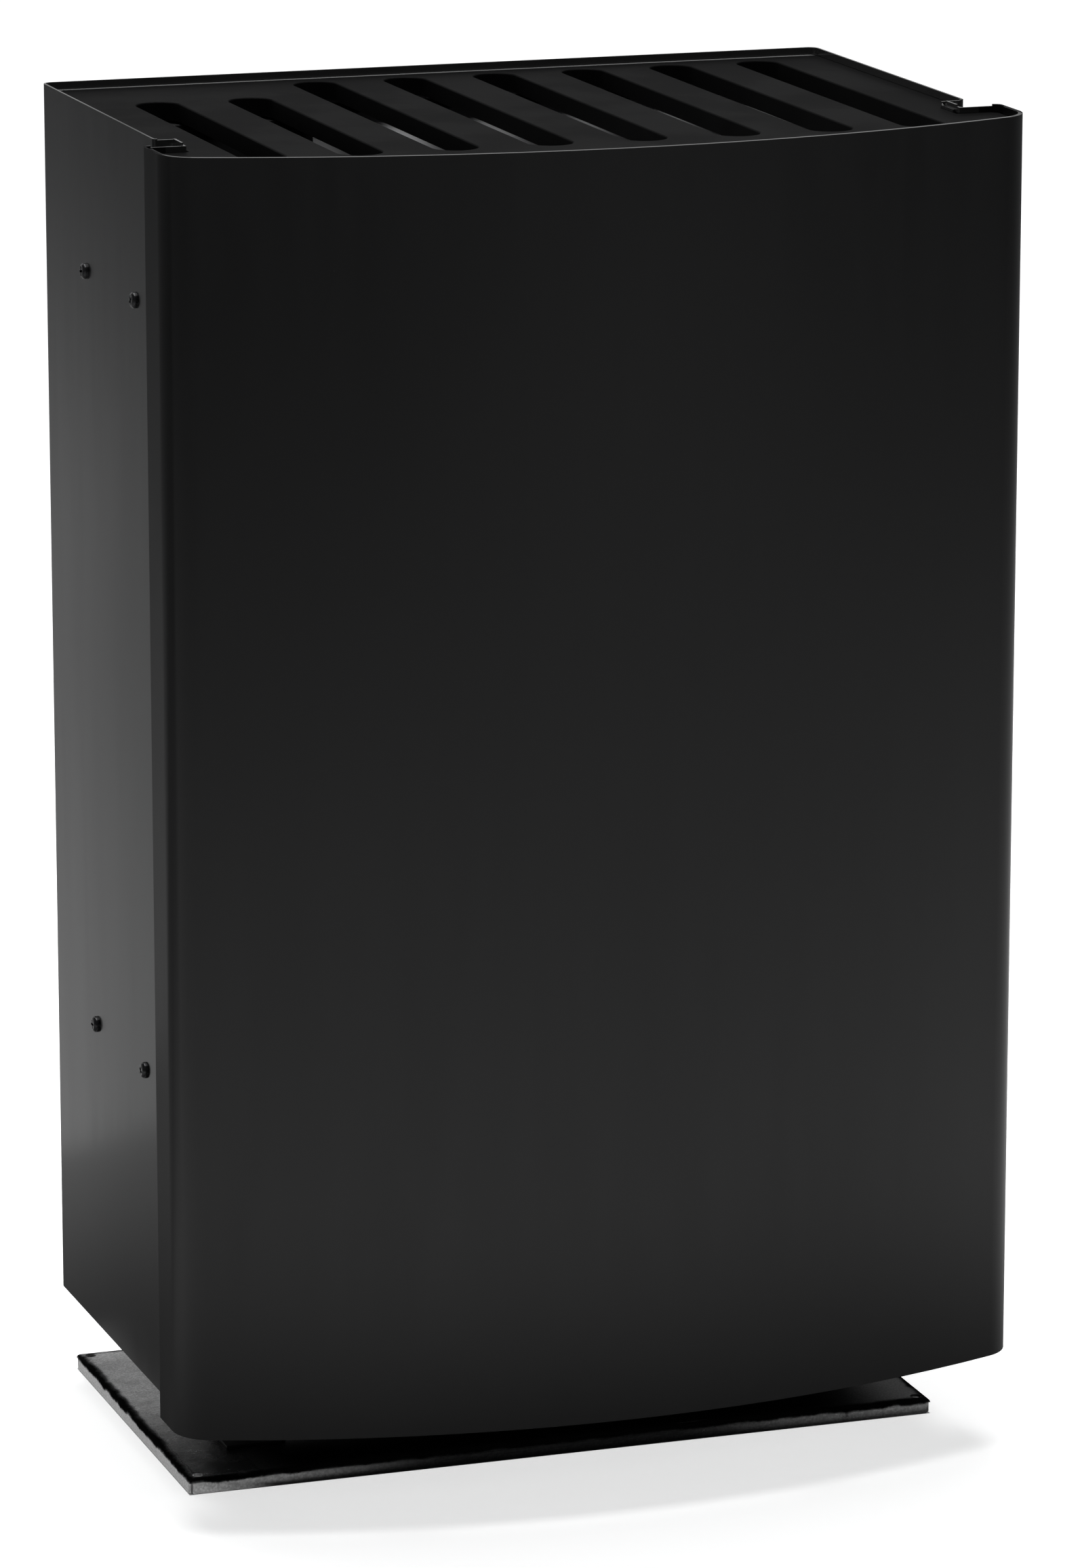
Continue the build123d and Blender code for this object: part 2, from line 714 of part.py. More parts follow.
# Impeller: dished hub plate, backward-curved blades and a coned shroud round the eye
blade_inner = eye_radius - 6
blade_step = throat_front - eye_clearance
blade_outer = impeller_radius - 1
blade_turn = radians(blade_sweep)
blade_tip = (blade_outer * cos(blade_turn), blade_outer * sin(blade_turn))
blade_line = RadiusArc((blade_inner, 0), blade_tip, blade_outer)
with BuildPart() as impeller:
    with BuildSketch(upright(blade_front)):
        with Locations((0, fan_height)):
            with PolarLocations(0, blade_count):
                SlotArc(blade_line, blade_wall)
    extrude(amount=-(blade_rear_eye - blade_front))
    with BuildSketch(turned()):
        with BuildLine():
            Polyline(
                (eye_radius - 12, blade_step),
                (eye_radius, blade_step),
                (eye_radius, blade_rear_eye),
                (impeller_radius + 2, blade_rear_outer),
                (impeller_radius + 2, blade_rear_eye + 5),
                (eye_radius - 12, blade_rear_eye + 5),
                close=True,
            )
        make_face()
    revolve(axis=fan_axis, mode=Mode.SUBTRACT)
    with BuildSketch(turned()):
        with BuildLine():
            Polyline(
                (eye_radius, blade_rear_eye - impeller_wall),
                (impeller_radius, blade_rear_outer - impeller_wall),
                (impeller_radius, blade_rear_outer),
                (eye_radius, blade_rear_eye),
                close=True,
            )
        make_face()
        with BuildLine():
            Polyline(
                (shaft_radius + running_gap, hub_top - hub_length),
                (hub_radius, hub_top - hub_length),
                (hub_radius, hub_top - impeller_wall),
                (hub_radius + 8, hub_top - impeller_wall),
                (hub_cone_radius - 1, blade_front - impeller_wall),
                (impeller_radius, blade_front - impeller_wall),
                (impeller_radius, blade_front),
                (hub_cone_radius, blade_front),
                (hub_radius + 9, hub_top),
                (shaft_radius + running_gap, hub_top),
                close=True,
            )
        make_face()
    revolve(axis=fan_axis)
impeller.part.label = "impeller"
export_step(impeller.part, "parts/impeller.step")

# Motor shaft with the flanged nut that holds the hub on it
with BuildPart() as motor_shaft:
    with BuildSketch(upright(hub_top + 10)):
        with Locations((0, fan_height)):
            Circle(shaft_radius)
    extrude(amount=hub_top + 10 - motor_front - 6)
motor_shaft.part.label = "motor_shaft"
export_step(motor_shaft.part, "parts/motor_shaft.step")

with BuildPart() as hub_nut:
    with BuildSketch(upright(hub_top)):
        with Locations((0, fan_height)):
            Circle(hub_radius - 1)
            Circle(shaft_radius + running_gap, mode=Mode.SUBTRACT)
    extrude(amount=-1.5)
    with BuildSketch(upright(hub_top + 1.5)):
        with Locations((0, fan_height)):
            RegularPolygon(hub_radius - 3, 6)
            Circle(shaft_radius + running_gap, mode=Mode.SUBTRACT)
    extrude(amount=-5.5)
hub_nut.part.label = "hub_nut"
export_step(hub_nut.part, "parts/hub_nut.step")

# Motor can, bored for the shaft and tapped for its four screws
with BuildPart() as motor_body:
    with BuildSketch(upright(motor_rear)):
        with Locations((0, fan_height)):
            Circle(motor_radius)
    extrude(amount=motor_length)
    chamfer(motor_body.edges().group_by(Axis.Y)[-1], 5)
    with BuildSketch(upright(motor_rear)):
        with Locations((0, fan_height)):
            Circle(shaft_radius + running_gap)
    extrude(amount=motor_length - 5, mode=Mode.SUBTRACT)
    with BuildSketch(upright(motor_front)):
        with Locations((0, fan_height)):
            with PolarLocations(grommet_circle, 4, start_angle=45):
                Circle(screw_radius + running_gap)
    extrude(amount=-(motor_screw_grip + grommet_lip), mode=Mode.SUBTRACT)
motor_body.part.label = "motor_body"
export_step(motor_body.part, "parts/motor_body.step")

# Motor panel: folded front wall of the fan section, opened round a four-armed motor seat
with BuildPart() as motor_panel:
    with BuildSketch(Plane.XY.offset(pan_top)):
        with Locations((0, (motor_panel_front + motor_panel_rear) / 2)):
            Rectangle(2 * panel_x, sheet)
        for side in (-1, 1):
            with Locations((side * (panel_x - sheet / 2), motor_panel_front)):
                Rectangle(sheet, panel_flange, align=(Align.CENTER, Align.MIN))
    extrude(amount=panel_top - pan_top)
    with BuildSketch(upright(motor_panel_rear)) as spider_plan:
        with Locations((0, fan_height)):
            Circle(spider_outer)
            Circle(spider_inner, mode=Mode.SUBTRACT)
            Rectangle(2 * spider_outer + 10, spider_arm, rotation=45, mode=Mode.SUBTRACT)
            Rectangle(2 * spider_outer + 10, spider_arm, rotation=-45, mode=Mode.SUBTRACT)
        fillet(spider_plan.vertices(), 8)
    extrude(amount=2 * sheet, mode=Mode.SUBTRACT)
    with BuildSketch(upright(motor_panel_rear)):
        with Locations((0, (fan_height + spider_outer + panel_top) / 2)):
            with GridLocations(vent_width + 30, 0, 2, 1):
                RectangleRounded(vent_width, vent_height, 8)
        with Locations((0, fan_height)):
            with PolarLocations(grommet_circle, 4, start_angle=45):
                Circle(grommet_radius + lap_gap)
    extrude(amount=2 * sheet, mode=Mode.SUBTRACT)
    with BuildSketch(Plane.YZ.offset(-housing_width)):
        for level in (screw_row_low, screw_row_high):
            with Locations((motor_screw_y, level)):
                Circle(screw_radius + running_gap)
    extrude(amount=2 * housing_width, mode=Mode.SUBTRACT)
motor_panel.part.label = "motor_panel"
export_step(motor_panel.part, "parts/motor_panel.step")

# Rubber grommets in the motor seat and the screws through them
with BuildPart() as motor_grommets:
    for rear_y, length, radius in (
        (motor_front, grommet_flange, grommet_radius + grommet_lip),
        (motor_panel_rear, sheet, grommet_radius),
        (motor_panel_front, grommet_flange, grommet_radius + grommet_lip),
    ):
        with BuildSketch(upright(rear_y)):
            with Locations((0, fan_height)):
                with PolarLocations(grommet_circle, 4, start_angle=45):
                    Circle(radius)
                    Circle(screw_radius + running_gap, mode=Mode.SUBTRACT)
        extrude(amount=length)
motor_grommets.part.label = "motor_grommets"
export_step(motor_grommets.part, "parts/motor_grommets.step")

grommet_front = motor_panel_front - grommet_flange
with BuildPart() as motor_screws:
    with BuildSketch(upright(grommet_front)):
        with Locations((0, fan_height)):
            with PolarLocations(grommet_circle, 4, start_angle=45):
                Circle(2.2 * screw_radius)
    extrude(amount=head_height)
    with BuildSketch(upright(grommet_front)):
        with Locations((0, fan_height)):
            with PolarLocations(grommet_circle, 4, start_angle=45):
                Circle(screw_radius)
    extrude(amount=-(motor_front - grommet_front + motor_screw_grip))
motor_screws.part.label = "motor_screws"
export_step(motor_screws.part, "parts/motor_screws.step")

# Run capacitor on the front of the deck
capacitor_x = panel_x - 4 * capacitor_radius
capacitor_z = panel_top - 4 * capacitor_radius
with BuildPart() as run_capacitor:
    with BuildSketch(upright(deck_front)):
        with Locations((capacitor_x, capacitor_z)):
            Circle(capacitor_radius)
    extrude(amount=capacitor_length)
    fillet(run_capacitor.edges().group_by(Axis.Y)[0], 3)
    with BuildSketch(upright(deck_front - capacitor_length)):
        with Locations((capacitor_x, capacitor_z)):
            with GridLocations(capacitor_radius, 0, 2, 1):
                Rectangle(6, 1)
    extrude(amount=9)
run_capacitor.part.label = "run_capacitor"
export_step(run_capacitor.part, "parts/run_capacitor.step")

# Rigid conduit for the motor's leads: over the deck from the control box, then down to the motor's side
conduit_x = -(impeller_radius + conduit_side)
conduit_y = (motor_front + blade_front - impeller_wall) / 2
conduit_z = (panel_top + box_top) / 2
motor_side = sqrt(motor_radius ** 2 - conduit_radius ** 2)
with BuildPart() as wire_conduit:
    with BuildLine() as conduit_path:
        FilletPolyline(
            (conduit_x, box_front - lap_gap, conduit_z),
            (conduit_x, conduit_y, conduit_z),
            (conduit_x, conduit_y, fan_height),
            (-motor_side - fit_gap - 0.2, conduit_y, fan_height),
            radius=conduit_bend,
        )
    with BuildSketch(Plane(origin=conduit_path.line @ 0, z_dir=conduit_path.line % 0)):
        Circle(conduit_radius)
    sweep(path=conduit_path.line)
wire_conduit.part.label = "wire_conduit"
export_step(wire_conduit.part, "parts/wire_conduit.step")

# Pan-head screws through the sides into the two panels
with BuildPart() as side_screws:
    for side in (-1, 1):
        with BuildSketch(Plane.YZ.offset(side * housing_width / 2)):
            for level in (screw_row_low, screw_row_high):
                with Locations((deck_screw_y, level), (motor_screw_y, level)):
                    Circle(2.25 * screw_radius)
        extrude(amount=side * 2.9)
    fillet(side_screws.edges().group_by(Axis.X)[-1] + side_screws.edges().group_by(Axis.X)[0], 1.4)
    for side in (-1, 1):
        with BuildSketch(Plane.YZ.offset(side * housing_width / 2)):
            for level in (screw_row_low, screw_row_high):
                with Locations((deck_screw_y, level), (motor_screw_y, level)):
                    Circle(screw_radius)
        extrude(amount=-side * 8)
side_screws.part.label = "side_screws"
export_step(side_screws.part, "parts/side_screws.step")

# Filter sill: folded step on the body floor under the cassette
with BuildPart() as filter_sill:
    with BuildSketch(Plane.YZ.offset(-guide_x)):
        with Locations((filter_front, pan_top)):
            Rectangle(filter_depth, sill_height, align=(Align.MIN, Align.MIN))
        with Locations((filter_front + sheet, pan_top)):
            Rectangle(
                filter_depth - 2 * sheet,
                sill_height - sheet,
                align=(Align.MIN, Align.MIN),
                mode=Mode.SUBTRACT,
            )
    extrude(amount=2 * guide_x)
filter_sill.part.label = "filter_sill"
export_step(filter_sill.part, "parts/filter_sill.step")

# Side guides: channels on the housing walls that the cassette slides between
for name, side in (("filter_guide_left", -1), ("filter_guide_right", 1)):
    with BuildPart() as guide:
        with BuildSketch(Plane.XY.offset(sill_top)):
            with Locations((side * (guide_x + sheet / 2), (guide_front + guide_rear) / 2)):
                Rectangle(sheet, guide_depth)
            with Locations(
                (side * (guide_x + panel_x) / 2, guide_front + sheet / 2),
                (side * (guide_x + panel_x) / 2, guide_rear - sheet / 2),
            ):
                Rectangle(panel_x - guide_x, sheet)
        extrude(amount=filter_height)
    guide.part.label = name
    export_step(guide.part, f"parts/{name}.step")

# Filter cassette frame, open to the deck, with a grid of bars towards the door
with BuildPart() as filter_frame:
    with BuildSketch(upright(filter_rear)):
        with Locations((0, filter_middle)):
            Rectangle(filter_width, filter_height)
            Rectangle(filter_width - 2 * filter_wall, filter_height - 2 * filter_wall, mode=Mode.SUBTRACT)
    extrude(amount=filter_depth)
    with BuildSketch(upright(filter_rear)):
        with Locations((0, filter_middle)):
            with GridLocations(filter_width / (bar_columns + 1), 0, bar_columns, 1):
                Rectangle(filter_bar, filter_height - filter_wall)
            with GridLocations(0, bar_pitch, 1, bar_rows):
                Rectangle(filter_width - filter_wall, filter_bar)
    extrude(amount=filter_wall - lap_gap)
filter_frame.part.label = "filter_frame"
export_step(filter_frame.part, "parts/filter_frame.step")

# Pleated medium: one folded ribbon across the cassette
pleat_span = filter_width - 2 * filter_wall - 2 * fit_gap
pleat_folds = 2 * int(pleat_span / pleat_pitch / 2) * 2
pleat_step = pleat_span / pleat_folds
pleat_points = []
for index in range(pleat_folds + 1):
    fold_y = pleat_front if index % 2 == 0 else pleat_rear - pleat_wall
    pleat_points.append((-pleat_span / 2 + index * pleat_step, fold_y))
with BuildPart() as pleat_pack:
    with BuildSketch(Plane.XY.offset(filter_bottom + filter_wall + fit_gap)):
        with BuildLine():
            lower_fold = Polyline(*pleat_points)
            upper_fold = Polyline(*[(x, y + pleat_wall) for x, y in pleat_points])
            Line(lower_fold @ 0, upper_fold @ 0)
            Line(lower_fold @ 1, upper_fold @ 1)
        make_face()
    extrude(amount=filter_height - 2 * filter_wall - 2 * fit_gap)
pleat_pack.part.label = "pleat_pack"
export_step(pleat_pack.part, "parts/pleat_pack.step")

# Carbon mat behind the bars of the cassette
with BuildPart() as carbon_mat:
    with BuildSketch(upright(mat_rear)):
        with Locations((0, filter_middle)):
            Rectangle(pleat_span, filter_height - 2 * filter_wall - 2 * fit_gap)
    extrude(amount=mat_thickness)
carbon_mat.part.label = "carbon_mat"
export_step(carbon_mat.part, "parts/carbon_mat.step")

# Foam seal between the cassette and the deck
with BuildPart() as filter_seal:
    with BuildSketch(upright(seal_front + seal_thickness)):
        with Locations((0, filter_middle)):
            Rectangle(filter_width - 2, filter_height - 2)
            Rectangle(
                filter_width - 2 - 2 * seal_width,
                filter_height - 2 - 2 * seal_width,
                mode=Mode.SUBTRACT,
            )
    extrude(amount=seal_thickness)
filter_seal.part.label = "filter_seal"
export_step(filter_seal.part, "parts/filter_seal.step")

# Pull strap lying on the bars of the cassette
with BuildPart() as filter_strap:
    with BuildSketch(upright(filter_rear + strap_thickness)):
        with Locations((0, filter_middle)):
            RectangleRounded(strap_width, 2 * bar_pitch + 2 * filter_bar, 4)
    extrude(amount=strap_thickness)
filter_strap.part.label = "filter_strap"
export_step(filter_strap.part, "parts/filter_strap.step")

# Rear door: slotted inlet panel with folded returns, drilled for its two pins
with BuildPart() as rear_door:
    with Locations((0, housing_rear, door_middle)):
        Box(door_width, door_return, door_height, align=(Align.CENTER, Align.MAX, Align.CENTER))
    fillet(rear_door.edges().filter_by(Axis.Y), 2)
    with Locations((0, housing_rear - sheet, door_middle)):
        Box(
            door_width - 2 * sheet,
            door_return,
            door_height - 2 * sheet,
            align=(Align.CENTER, Align.MAX, Align.CENTER),
            mode=Mode.SUBTRACT,
        )
    with BuildSketch(upright(housing_rear)):
        with Locations((0, door_middle)):
            with GridLocations(door_slot_pitch_x, door_slot_pitch_z, door_slot_columns, door_slot_rows):
                SlotOverall(door_slot_length, door_slot_width, rotation=90)
        with Locations((-door_x, door_middle)):
            Circle(finger_radius)
    extrude(amount=door_return, mode=Mode.SUBTRACT)
    with BuildSketch(Plane.XY.offset(door_bottom)):
        with Locations((pin_x, pin_y)):
            Circle(door_pin_radius + running_gap)
    extrude(amount=door_height, mode=Mode.SUBTRACT)
rear_door.part.label = "rear_door"
export_step(rear_door.part, "parts/rear_door.step")

# Ledges over and under the door opening that hold the pins
with BuildPart() as door_ledges:
    for edge, side in ((opening_top, 1), (opening_bottom, -1)):
        with BuildSketch(Plane.YZ.offset(-opening_x)):
            with Locations((rear_in - sheet / 2, edge + side * 8)):
                Rectangle(sheet, 16)
            with Locations((rear_in - door_return / 2, edge + side * sheet / 2)):
                Rectangle(door_return, sheet)
        extrude(amount=2 * opening_x)
    with BuildSketch(Plane.XY.offset(opening_bottom - 20)):
        with Locations((pin_x, pin_y)):
            Circle(door_pin_radius + running_gap)
    extrude(amount=opening_top - opening_bottom + 40, mode=Mode.SUBTRACT)
door_ledges.part.label = "door_ledges"
export_step(door_ledges.part, "parts/door_ledges.step")

with BuildPart() as hinge_pins:
    for edge, side in ((opening_top, 1), (opening_bottom, -1)):
        with BuildSketch(Plane.XY.offset(edge + side * sheet)):
            with Locations((pin_x, pin_y)):
                Circle(door_pin_head)
        extrude(amount=side * 1.6)
        with BuildSketch(Plane.XY.offset(edge + side * sheet)):
            with Locations((pin_x, pin_y)):
                Circle(door_pin_radius)
        extrude(amount=-side * (2 * sheet + door_gap + 4))
hinge_pins.part.label = "hinge_pins"
export_step(hinge_pins.part, "parts/hinge_pins.step")

# Post along the closing side of the door and the magnets standing on it
with BuildPart() as latch_post:
    with BuildSketch(Plane.XY.offset(sill_top)):
        with Locations((-panel_x, post_rear)):
            Rectangle(panel_x - guide_x - 2, sheet, align=(Align.MIN, Align.MAX))
        with Locations((-panel_x, post_rear)):
            Rectangle(sheet, post_rear - guide_rear - fit_gap, align=(Align.MIN, Align.MAX))
    extrude(amount=filter_height)
latch_post.part.label = "latch_post"
export_step(latch_post.part, "parts/latch_post.step")

with BuildPart() as door_magnets:
    with BuildSketch(upright(rear_in - fit_gap)):
        with Locations((-guide_x - magnet_width / 2 - 4, door_middle)):
            with GridLocations(0, door_height * 0.6, 1, 2):
                Rectangle(magnet_width, magnet_height)
    extrude(amount=rear_in - fit_gap - post_rear)
door_magnets.part.label = "door_magnets"
export_step(door_magnets.part, "parts/door_magnets.step")

# Control box under the short slots, open to the rear wall
with BuildPart() as control_box:
    with BuildSketch(upright(rear_in - fit_gap)):
        with Locations(((box_left + box_right) / 2, (box_bottom + box_top) / 2)):
            RectangleRounded(box_width, box_height, 5)
    extrude(amount=rear_in - fit_gap - box_front)
    with BuildSketch(upright(rear_in - fit_gap)):
        with Locations(((box_left + box_right) / 2, (box_bottom + box_top) / 2)):
            RectangleRounded(box_width - 2 * box_wall, box_height - 2 * box_wall, 3)
    extrude(amount=rear_in - fit_gap - box_front - box_wall, mode=Mode.SUBTRACT)
control_box.part.label = "control_box"
export_step(control_box.part, "parts/control_box.step")

# Control cup: recessed tray in the rear wall with a lip outside and posts for the board
with BuildPart() as control_cup:
    with BuildSketch(upright(housing_rear + cup_lip_sheet)):
        with Locations((cup_x, cup_z)):
            RectangleRounded(cup_width + 2 * cup_lip, cup_height + 2 * cup_lip, 6)
    extrude(amount=cup_lip_sheet)
    with BuildSketch(upright(housing_rear)):
        with Locations((cup_x, cup_z)):
            RectangleRounded(cup_width, cup_height, 4)
    extrude(amount=cup_depth)
    with BuildSketch(upright(housing_rear + cup_lip_sheet)):
        with Locations((cup_x, cup_z)):
            RectangleRounded(cup_width - 2 * cup_wall, cup_height - 2 * cup_wall, 3)
    extrude(amount=housing_rear + cup_lip_sheet - cup_floor_rear, mode=Mode.SUBTRACT)
    with BuildSketch(upright(cup_floor_front)):
        with Locations((cup_x, cup_z)):
            with GridLocations(cup_width - 8, cup_height - 8, 2, 2):
                Circle(3)
    extrude(amount=switch_depth)
    with BuildSketch(upright(cup_floor_rear)):
        with Locations((knob_x, cup_z)):
            Circle(stem_radius + running_gap)
        with Locations((inlet_x, cup_z)):
            Rectangle(inlet_width + 2 * inlet_wall + 2 * lap_gap, inlet_height + 2 * inlet_wall + 2 * lap_gap)
    extrude(amount=cup_wall, mode=Mode.SUBTRACT)
    with BuildSketch(upright(housing_rear + cup_lip_sheet)):
        with Locations((cup_x, cup_z)):
            with GridLocations(cup_width + cup_lip, 0, 2, 1):
                Circle(screw_radius * 0.75 + running_gap)
    extrude(amount=cup_lip_sheet, mode=Mode.SUBTRACT)
control_cup.part.label = "control_cup"
export_step(control_cup.part, "parts/control_cup.step")

with BuildPart() as cup_screws:
    with BuildSketch(upright(housing_rear + cup_lip_sheet)):
        with Locations((cup_x, cup_z)):
            with GridLocations(cup_width + cup_lip, 0, 2, 1):
                Circle(1.35 * screw_radius)
    extrude(amount=-1.6)
    with BuildSketch(upright(housing_rear + cup_lip_sheet)):
        with Locations((cup_x, cup_z)):
            with GridLocations(cup_width + cup_lip, 0, 2, 1):
                Circle(screw_radius * 0.75)
    extrude(amount=cup_lip_sheet + sheet + 4)
cup_screws.part.label = "cup_screws"
export_step(cup_screws.part, "parts/cup_screws.step")

# Speed switch on its board, and the fluted knob on its stem
with BuildPart() as control_board:
    with BuildSketch(upright(board_rear)):
        with Locations((cup_x, cup_z)):
            Rectangle(cup_width - 2, cup_height - 2)
    extrude(amount=board_sheet)
control_board.part.label = "control_board"
export_step(control_board.part, "parts/control_board.step")

with BuildPart() as speed_switch:
    with BuildSketch(upright(cup_floor_front)):
        with Locations((knob_x, cup_z)):
            Rectangle(switch_size, switch_size)
    extrude(amount=switch_depth)
    with BuildSketch(upright(cup_floor_front)):
        with Locations((knob_x, cup_z)):
            Circle(stem_radius + running_gap)
    extrude(amount=switch_depth - 3, mode=Mode.SUBTRACT)
speed_switch.part.label = "speed_switch"
export_step(speed_switch.part, "parts/speed_switch.step")

knob_front = cup_floor_rear + 0.8
with BuildPart() as speed_knob:
    with BuildSketch(upright(knob_front)):
        with Locations((knob_x, cup_z)):
            Circle(knob_radius)
            with PolarLocations(knob_radius + 0.6, 16):
                Circle(1.8, mode=Mode.SUBTRACT)
    extrude(amount=-knob_length)
    chamfer(speed_knob.faces().sort_by(Axis.Y)[-1].edges(), 0.6)
    with BuildSketch(upright(knob_front + knob_length)):
        with Locations((knob_x, cup_z + knob_radius / 2)):
            Rectangle(1.6, knob_radius * 0.7)
    extrude(amount=-0.8)
    with BuildSketch(upright(knob_front)):
        with Locations((knob_x, cup_z)):
            Circle(stem_radius)
    extrude(amount=knob_front - board_rear - 4)
speed_knob.part.label = "speed_knob"
export_step(speed_knob.part, "parts/speed_knob.step")

# Mains inlet: flanged socket with three blades set back inside its mouth
inlet_mouth = cup_floor_rear + 2
with BuildPart() as power_inlet:
    with BuildSketch(upright(inlet_mouth)):
        with Locations((inlet_x, cup_z)):
            RectangleRounded(inlet_width + 10, inlet_height + 9, 3)
    extrude(amount=inlet_mouth - cup_floor_rear)
    with BuildSketch(upright(cup_floor_rear)):
        with Locations((inlet_x, cup_z)):
            Rectangle(inlet_width + 2 * inlet_wall, inlet_height + 2 * inlet_wall)
    extrude(amount=inlet_depth - 2 + inlet_wall)
    with BuildSketch(upright(inlet_mouth)) as mouth_plan:
        with Locations((inlet_x, cup_z)):
            Rectangle(inlet_width, inlet_height)
        chamfer(mouth_plan.vertices().group_by(Axis.Y)[-1], 4)
    extrude(amount=inlet_depth, mode=Mode.SUBTRACT)
    with BuildSketch(upright(inlet_mouth - 6)):
        with Locations((inlet_x - 7, cup_z - 2), (inlet_x, cup_z + 2), (inlet_x + 7, cup_z - 2)):
            Rectangle(2, 4)
    extrude(amount=inlet_depth - 6)
power_inlet.part.label = "power_inlet"
export_step(power_inlet.part, "parts/power_inlet.step")
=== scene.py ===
# %% [markdown]
# # A floor-standing air purifier in folded black steel
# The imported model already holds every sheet, screw and fan piece at its true
# size. Blender adds what a drawing can't: the coat on the steel, the rounding
# of cut edges, the recess in a screw head, cloth, paper and foam. The frame is
# loaded first, and its box is kept, because the dressed part has to stay in it.

# %% Load the frame
import json
import math

import bmesh
import bpy
from mathutils import Matrix, Vector


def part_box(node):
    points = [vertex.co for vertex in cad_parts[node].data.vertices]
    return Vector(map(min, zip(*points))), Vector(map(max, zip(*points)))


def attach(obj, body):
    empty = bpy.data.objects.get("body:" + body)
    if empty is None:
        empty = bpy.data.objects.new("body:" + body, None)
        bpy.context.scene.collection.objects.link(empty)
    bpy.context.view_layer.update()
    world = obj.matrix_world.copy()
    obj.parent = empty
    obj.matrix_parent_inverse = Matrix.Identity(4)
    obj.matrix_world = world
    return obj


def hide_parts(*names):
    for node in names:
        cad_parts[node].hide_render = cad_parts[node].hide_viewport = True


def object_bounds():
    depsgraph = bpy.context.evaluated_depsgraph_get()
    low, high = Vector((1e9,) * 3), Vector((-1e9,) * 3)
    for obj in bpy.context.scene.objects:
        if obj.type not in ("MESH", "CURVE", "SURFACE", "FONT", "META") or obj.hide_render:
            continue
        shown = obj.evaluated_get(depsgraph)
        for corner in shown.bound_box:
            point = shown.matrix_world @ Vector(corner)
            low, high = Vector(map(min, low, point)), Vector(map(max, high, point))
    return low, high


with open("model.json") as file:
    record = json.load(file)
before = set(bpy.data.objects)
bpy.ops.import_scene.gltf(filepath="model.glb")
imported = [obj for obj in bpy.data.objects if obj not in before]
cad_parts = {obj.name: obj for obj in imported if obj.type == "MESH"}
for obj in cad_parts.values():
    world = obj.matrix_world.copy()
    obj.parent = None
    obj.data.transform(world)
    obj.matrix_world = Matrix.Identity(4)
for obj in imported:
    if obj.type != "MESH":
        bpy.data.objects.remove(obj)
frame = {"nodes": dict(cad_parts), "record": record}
cad_box = [list(corner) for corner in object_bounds()]
nodes = frame["nodes"]
scene = bpy.context.scene

# %% [markdown]
# ## Camera
# A long lens from far away keeps the uprights almost parallel, as a product
# photographer does. It stands in front, to the left, and looks down a little,
# so that the top slots and the left side both show.

# %% Camera
film_side = 36.0
look_down = 0.2364
turn_right = 0.3289
camera_data = bpy.data.cameras.new("long_lens")
camera_data.sensor_fit = "VERTICAL"
camera_data.sensor_width = film_side
camera_data.sensor_height = film_side
camera_data.lens = 164.1
camera = bpy.data.objects.new("long_lens", camera_data)
camera.location = (-1.2316, -3.6281, 1.2907)
camera.rotation_euler = (math.pi / 2 - look_down, 0.0, -turn_right)
scene.collection.objects.link(camera)
scene.camera = camera
print("camera:", round(camera_data.lens, 1), "mm lens")

# %% [markdown]
# ## Helpers
# A material is a tree of nodes, and most of a tree is small sums. These helpers
# add one node each and return its socket, so that a finish reads like a formula.
# A fade is the one used most: it goes smoothly from a low to a high value while
# something else, such as a distance, goes from a start to an end.

# %% Helpers for node trees and meshes
def put(tree, kind, **inputs):
    """Adds a node and fills its sockets: a socket or a plain value for each."""
    node = tree.nodes.new(kind)
    for name, value in inputs.items():
        fill(tree, node.inputs[name.replace("_", " ")], value)
    return node


def fill(tree, socket, value):
    """Links a socket, or sets it where the value is a plain one."""
    if isinstance(value, bpy.types.NodeSocket):
        tree.links.new(value, socket)
    else:
        socket.default_value = value


def calc(tree, operation, *values):
    """One Math node."""
    node = tree.nodes.new("ShaderNodeMath")
    node.operation = operation
    for index, value in enumerate(values):
        fill(tree, node.inputs[index], value)
    return node.outputs[0]


def times(tree, first, *others):
    """The product of two or more values."""
    for other in others:
        first = calc(tree, "MULTIPLY", first, other)
    return first


def largest(tree, first, *others):
    """The largest of two or more values."""
    for other in others:
        first = calc(tree, "MAXIMUM", first, other)
    return first


def fade(tree, value, start, end, low=0.0, high=1.0):
    """A smooth step from low to high while value goes from start to end."""
    node = tree.nodes.new("ShaderNodeMapRange")
    node.interpolation_type = "SMOOTHSTEP"
    for index, item in enumerate((value, start, end, low, high)):
        fill(tree, node.inputs[index], item)
    return node.outputs[0]


def vector(tree, x=0.0, y=0.0, z=0.0):
    """A vector of three values or sockets."""
    return put(tree, "ShaderNodeCombineXYZ", X=x, Y=y, Z=z).outputs[0]


def xyz(tree, place):
    """The three parts of a vector."""
    return put(tree, "ShaderNodeSeparateXYZ", Vector=place).outputs


def vector_calc(tree, operation, *vectors):
    """One Vector Math node."""
    node = tree.nodes.new("ShaderNodeVectorMath")
    node.operation = operation
    for index, value in enumerate(vectors):
        fill(tree, node.inputs[index], value)
    return node.outputs["Value" if operation == "LENGTH" else "Vector"]


def rays(tree):
    """Whether a ray comes from the camera, and whether it was mirrored or let through."""
    path = put(tree, "ShaderNodeLightPath").outputs
    mirrored = largest(tree, path["Is Glossy Ray"], path["Is Transmission Ray"])
    return path["Is Camera Ray"], mirrored


def mesh_of(shape, name):
    """Turns a bmesh into a mesh of that name."""
    mesh = bpy.data.meshes.new(name)
    shape.to_mesh(mesh)
    shape.free()
    return mesh


print("helpers: nodes, sums, fades and meshes")

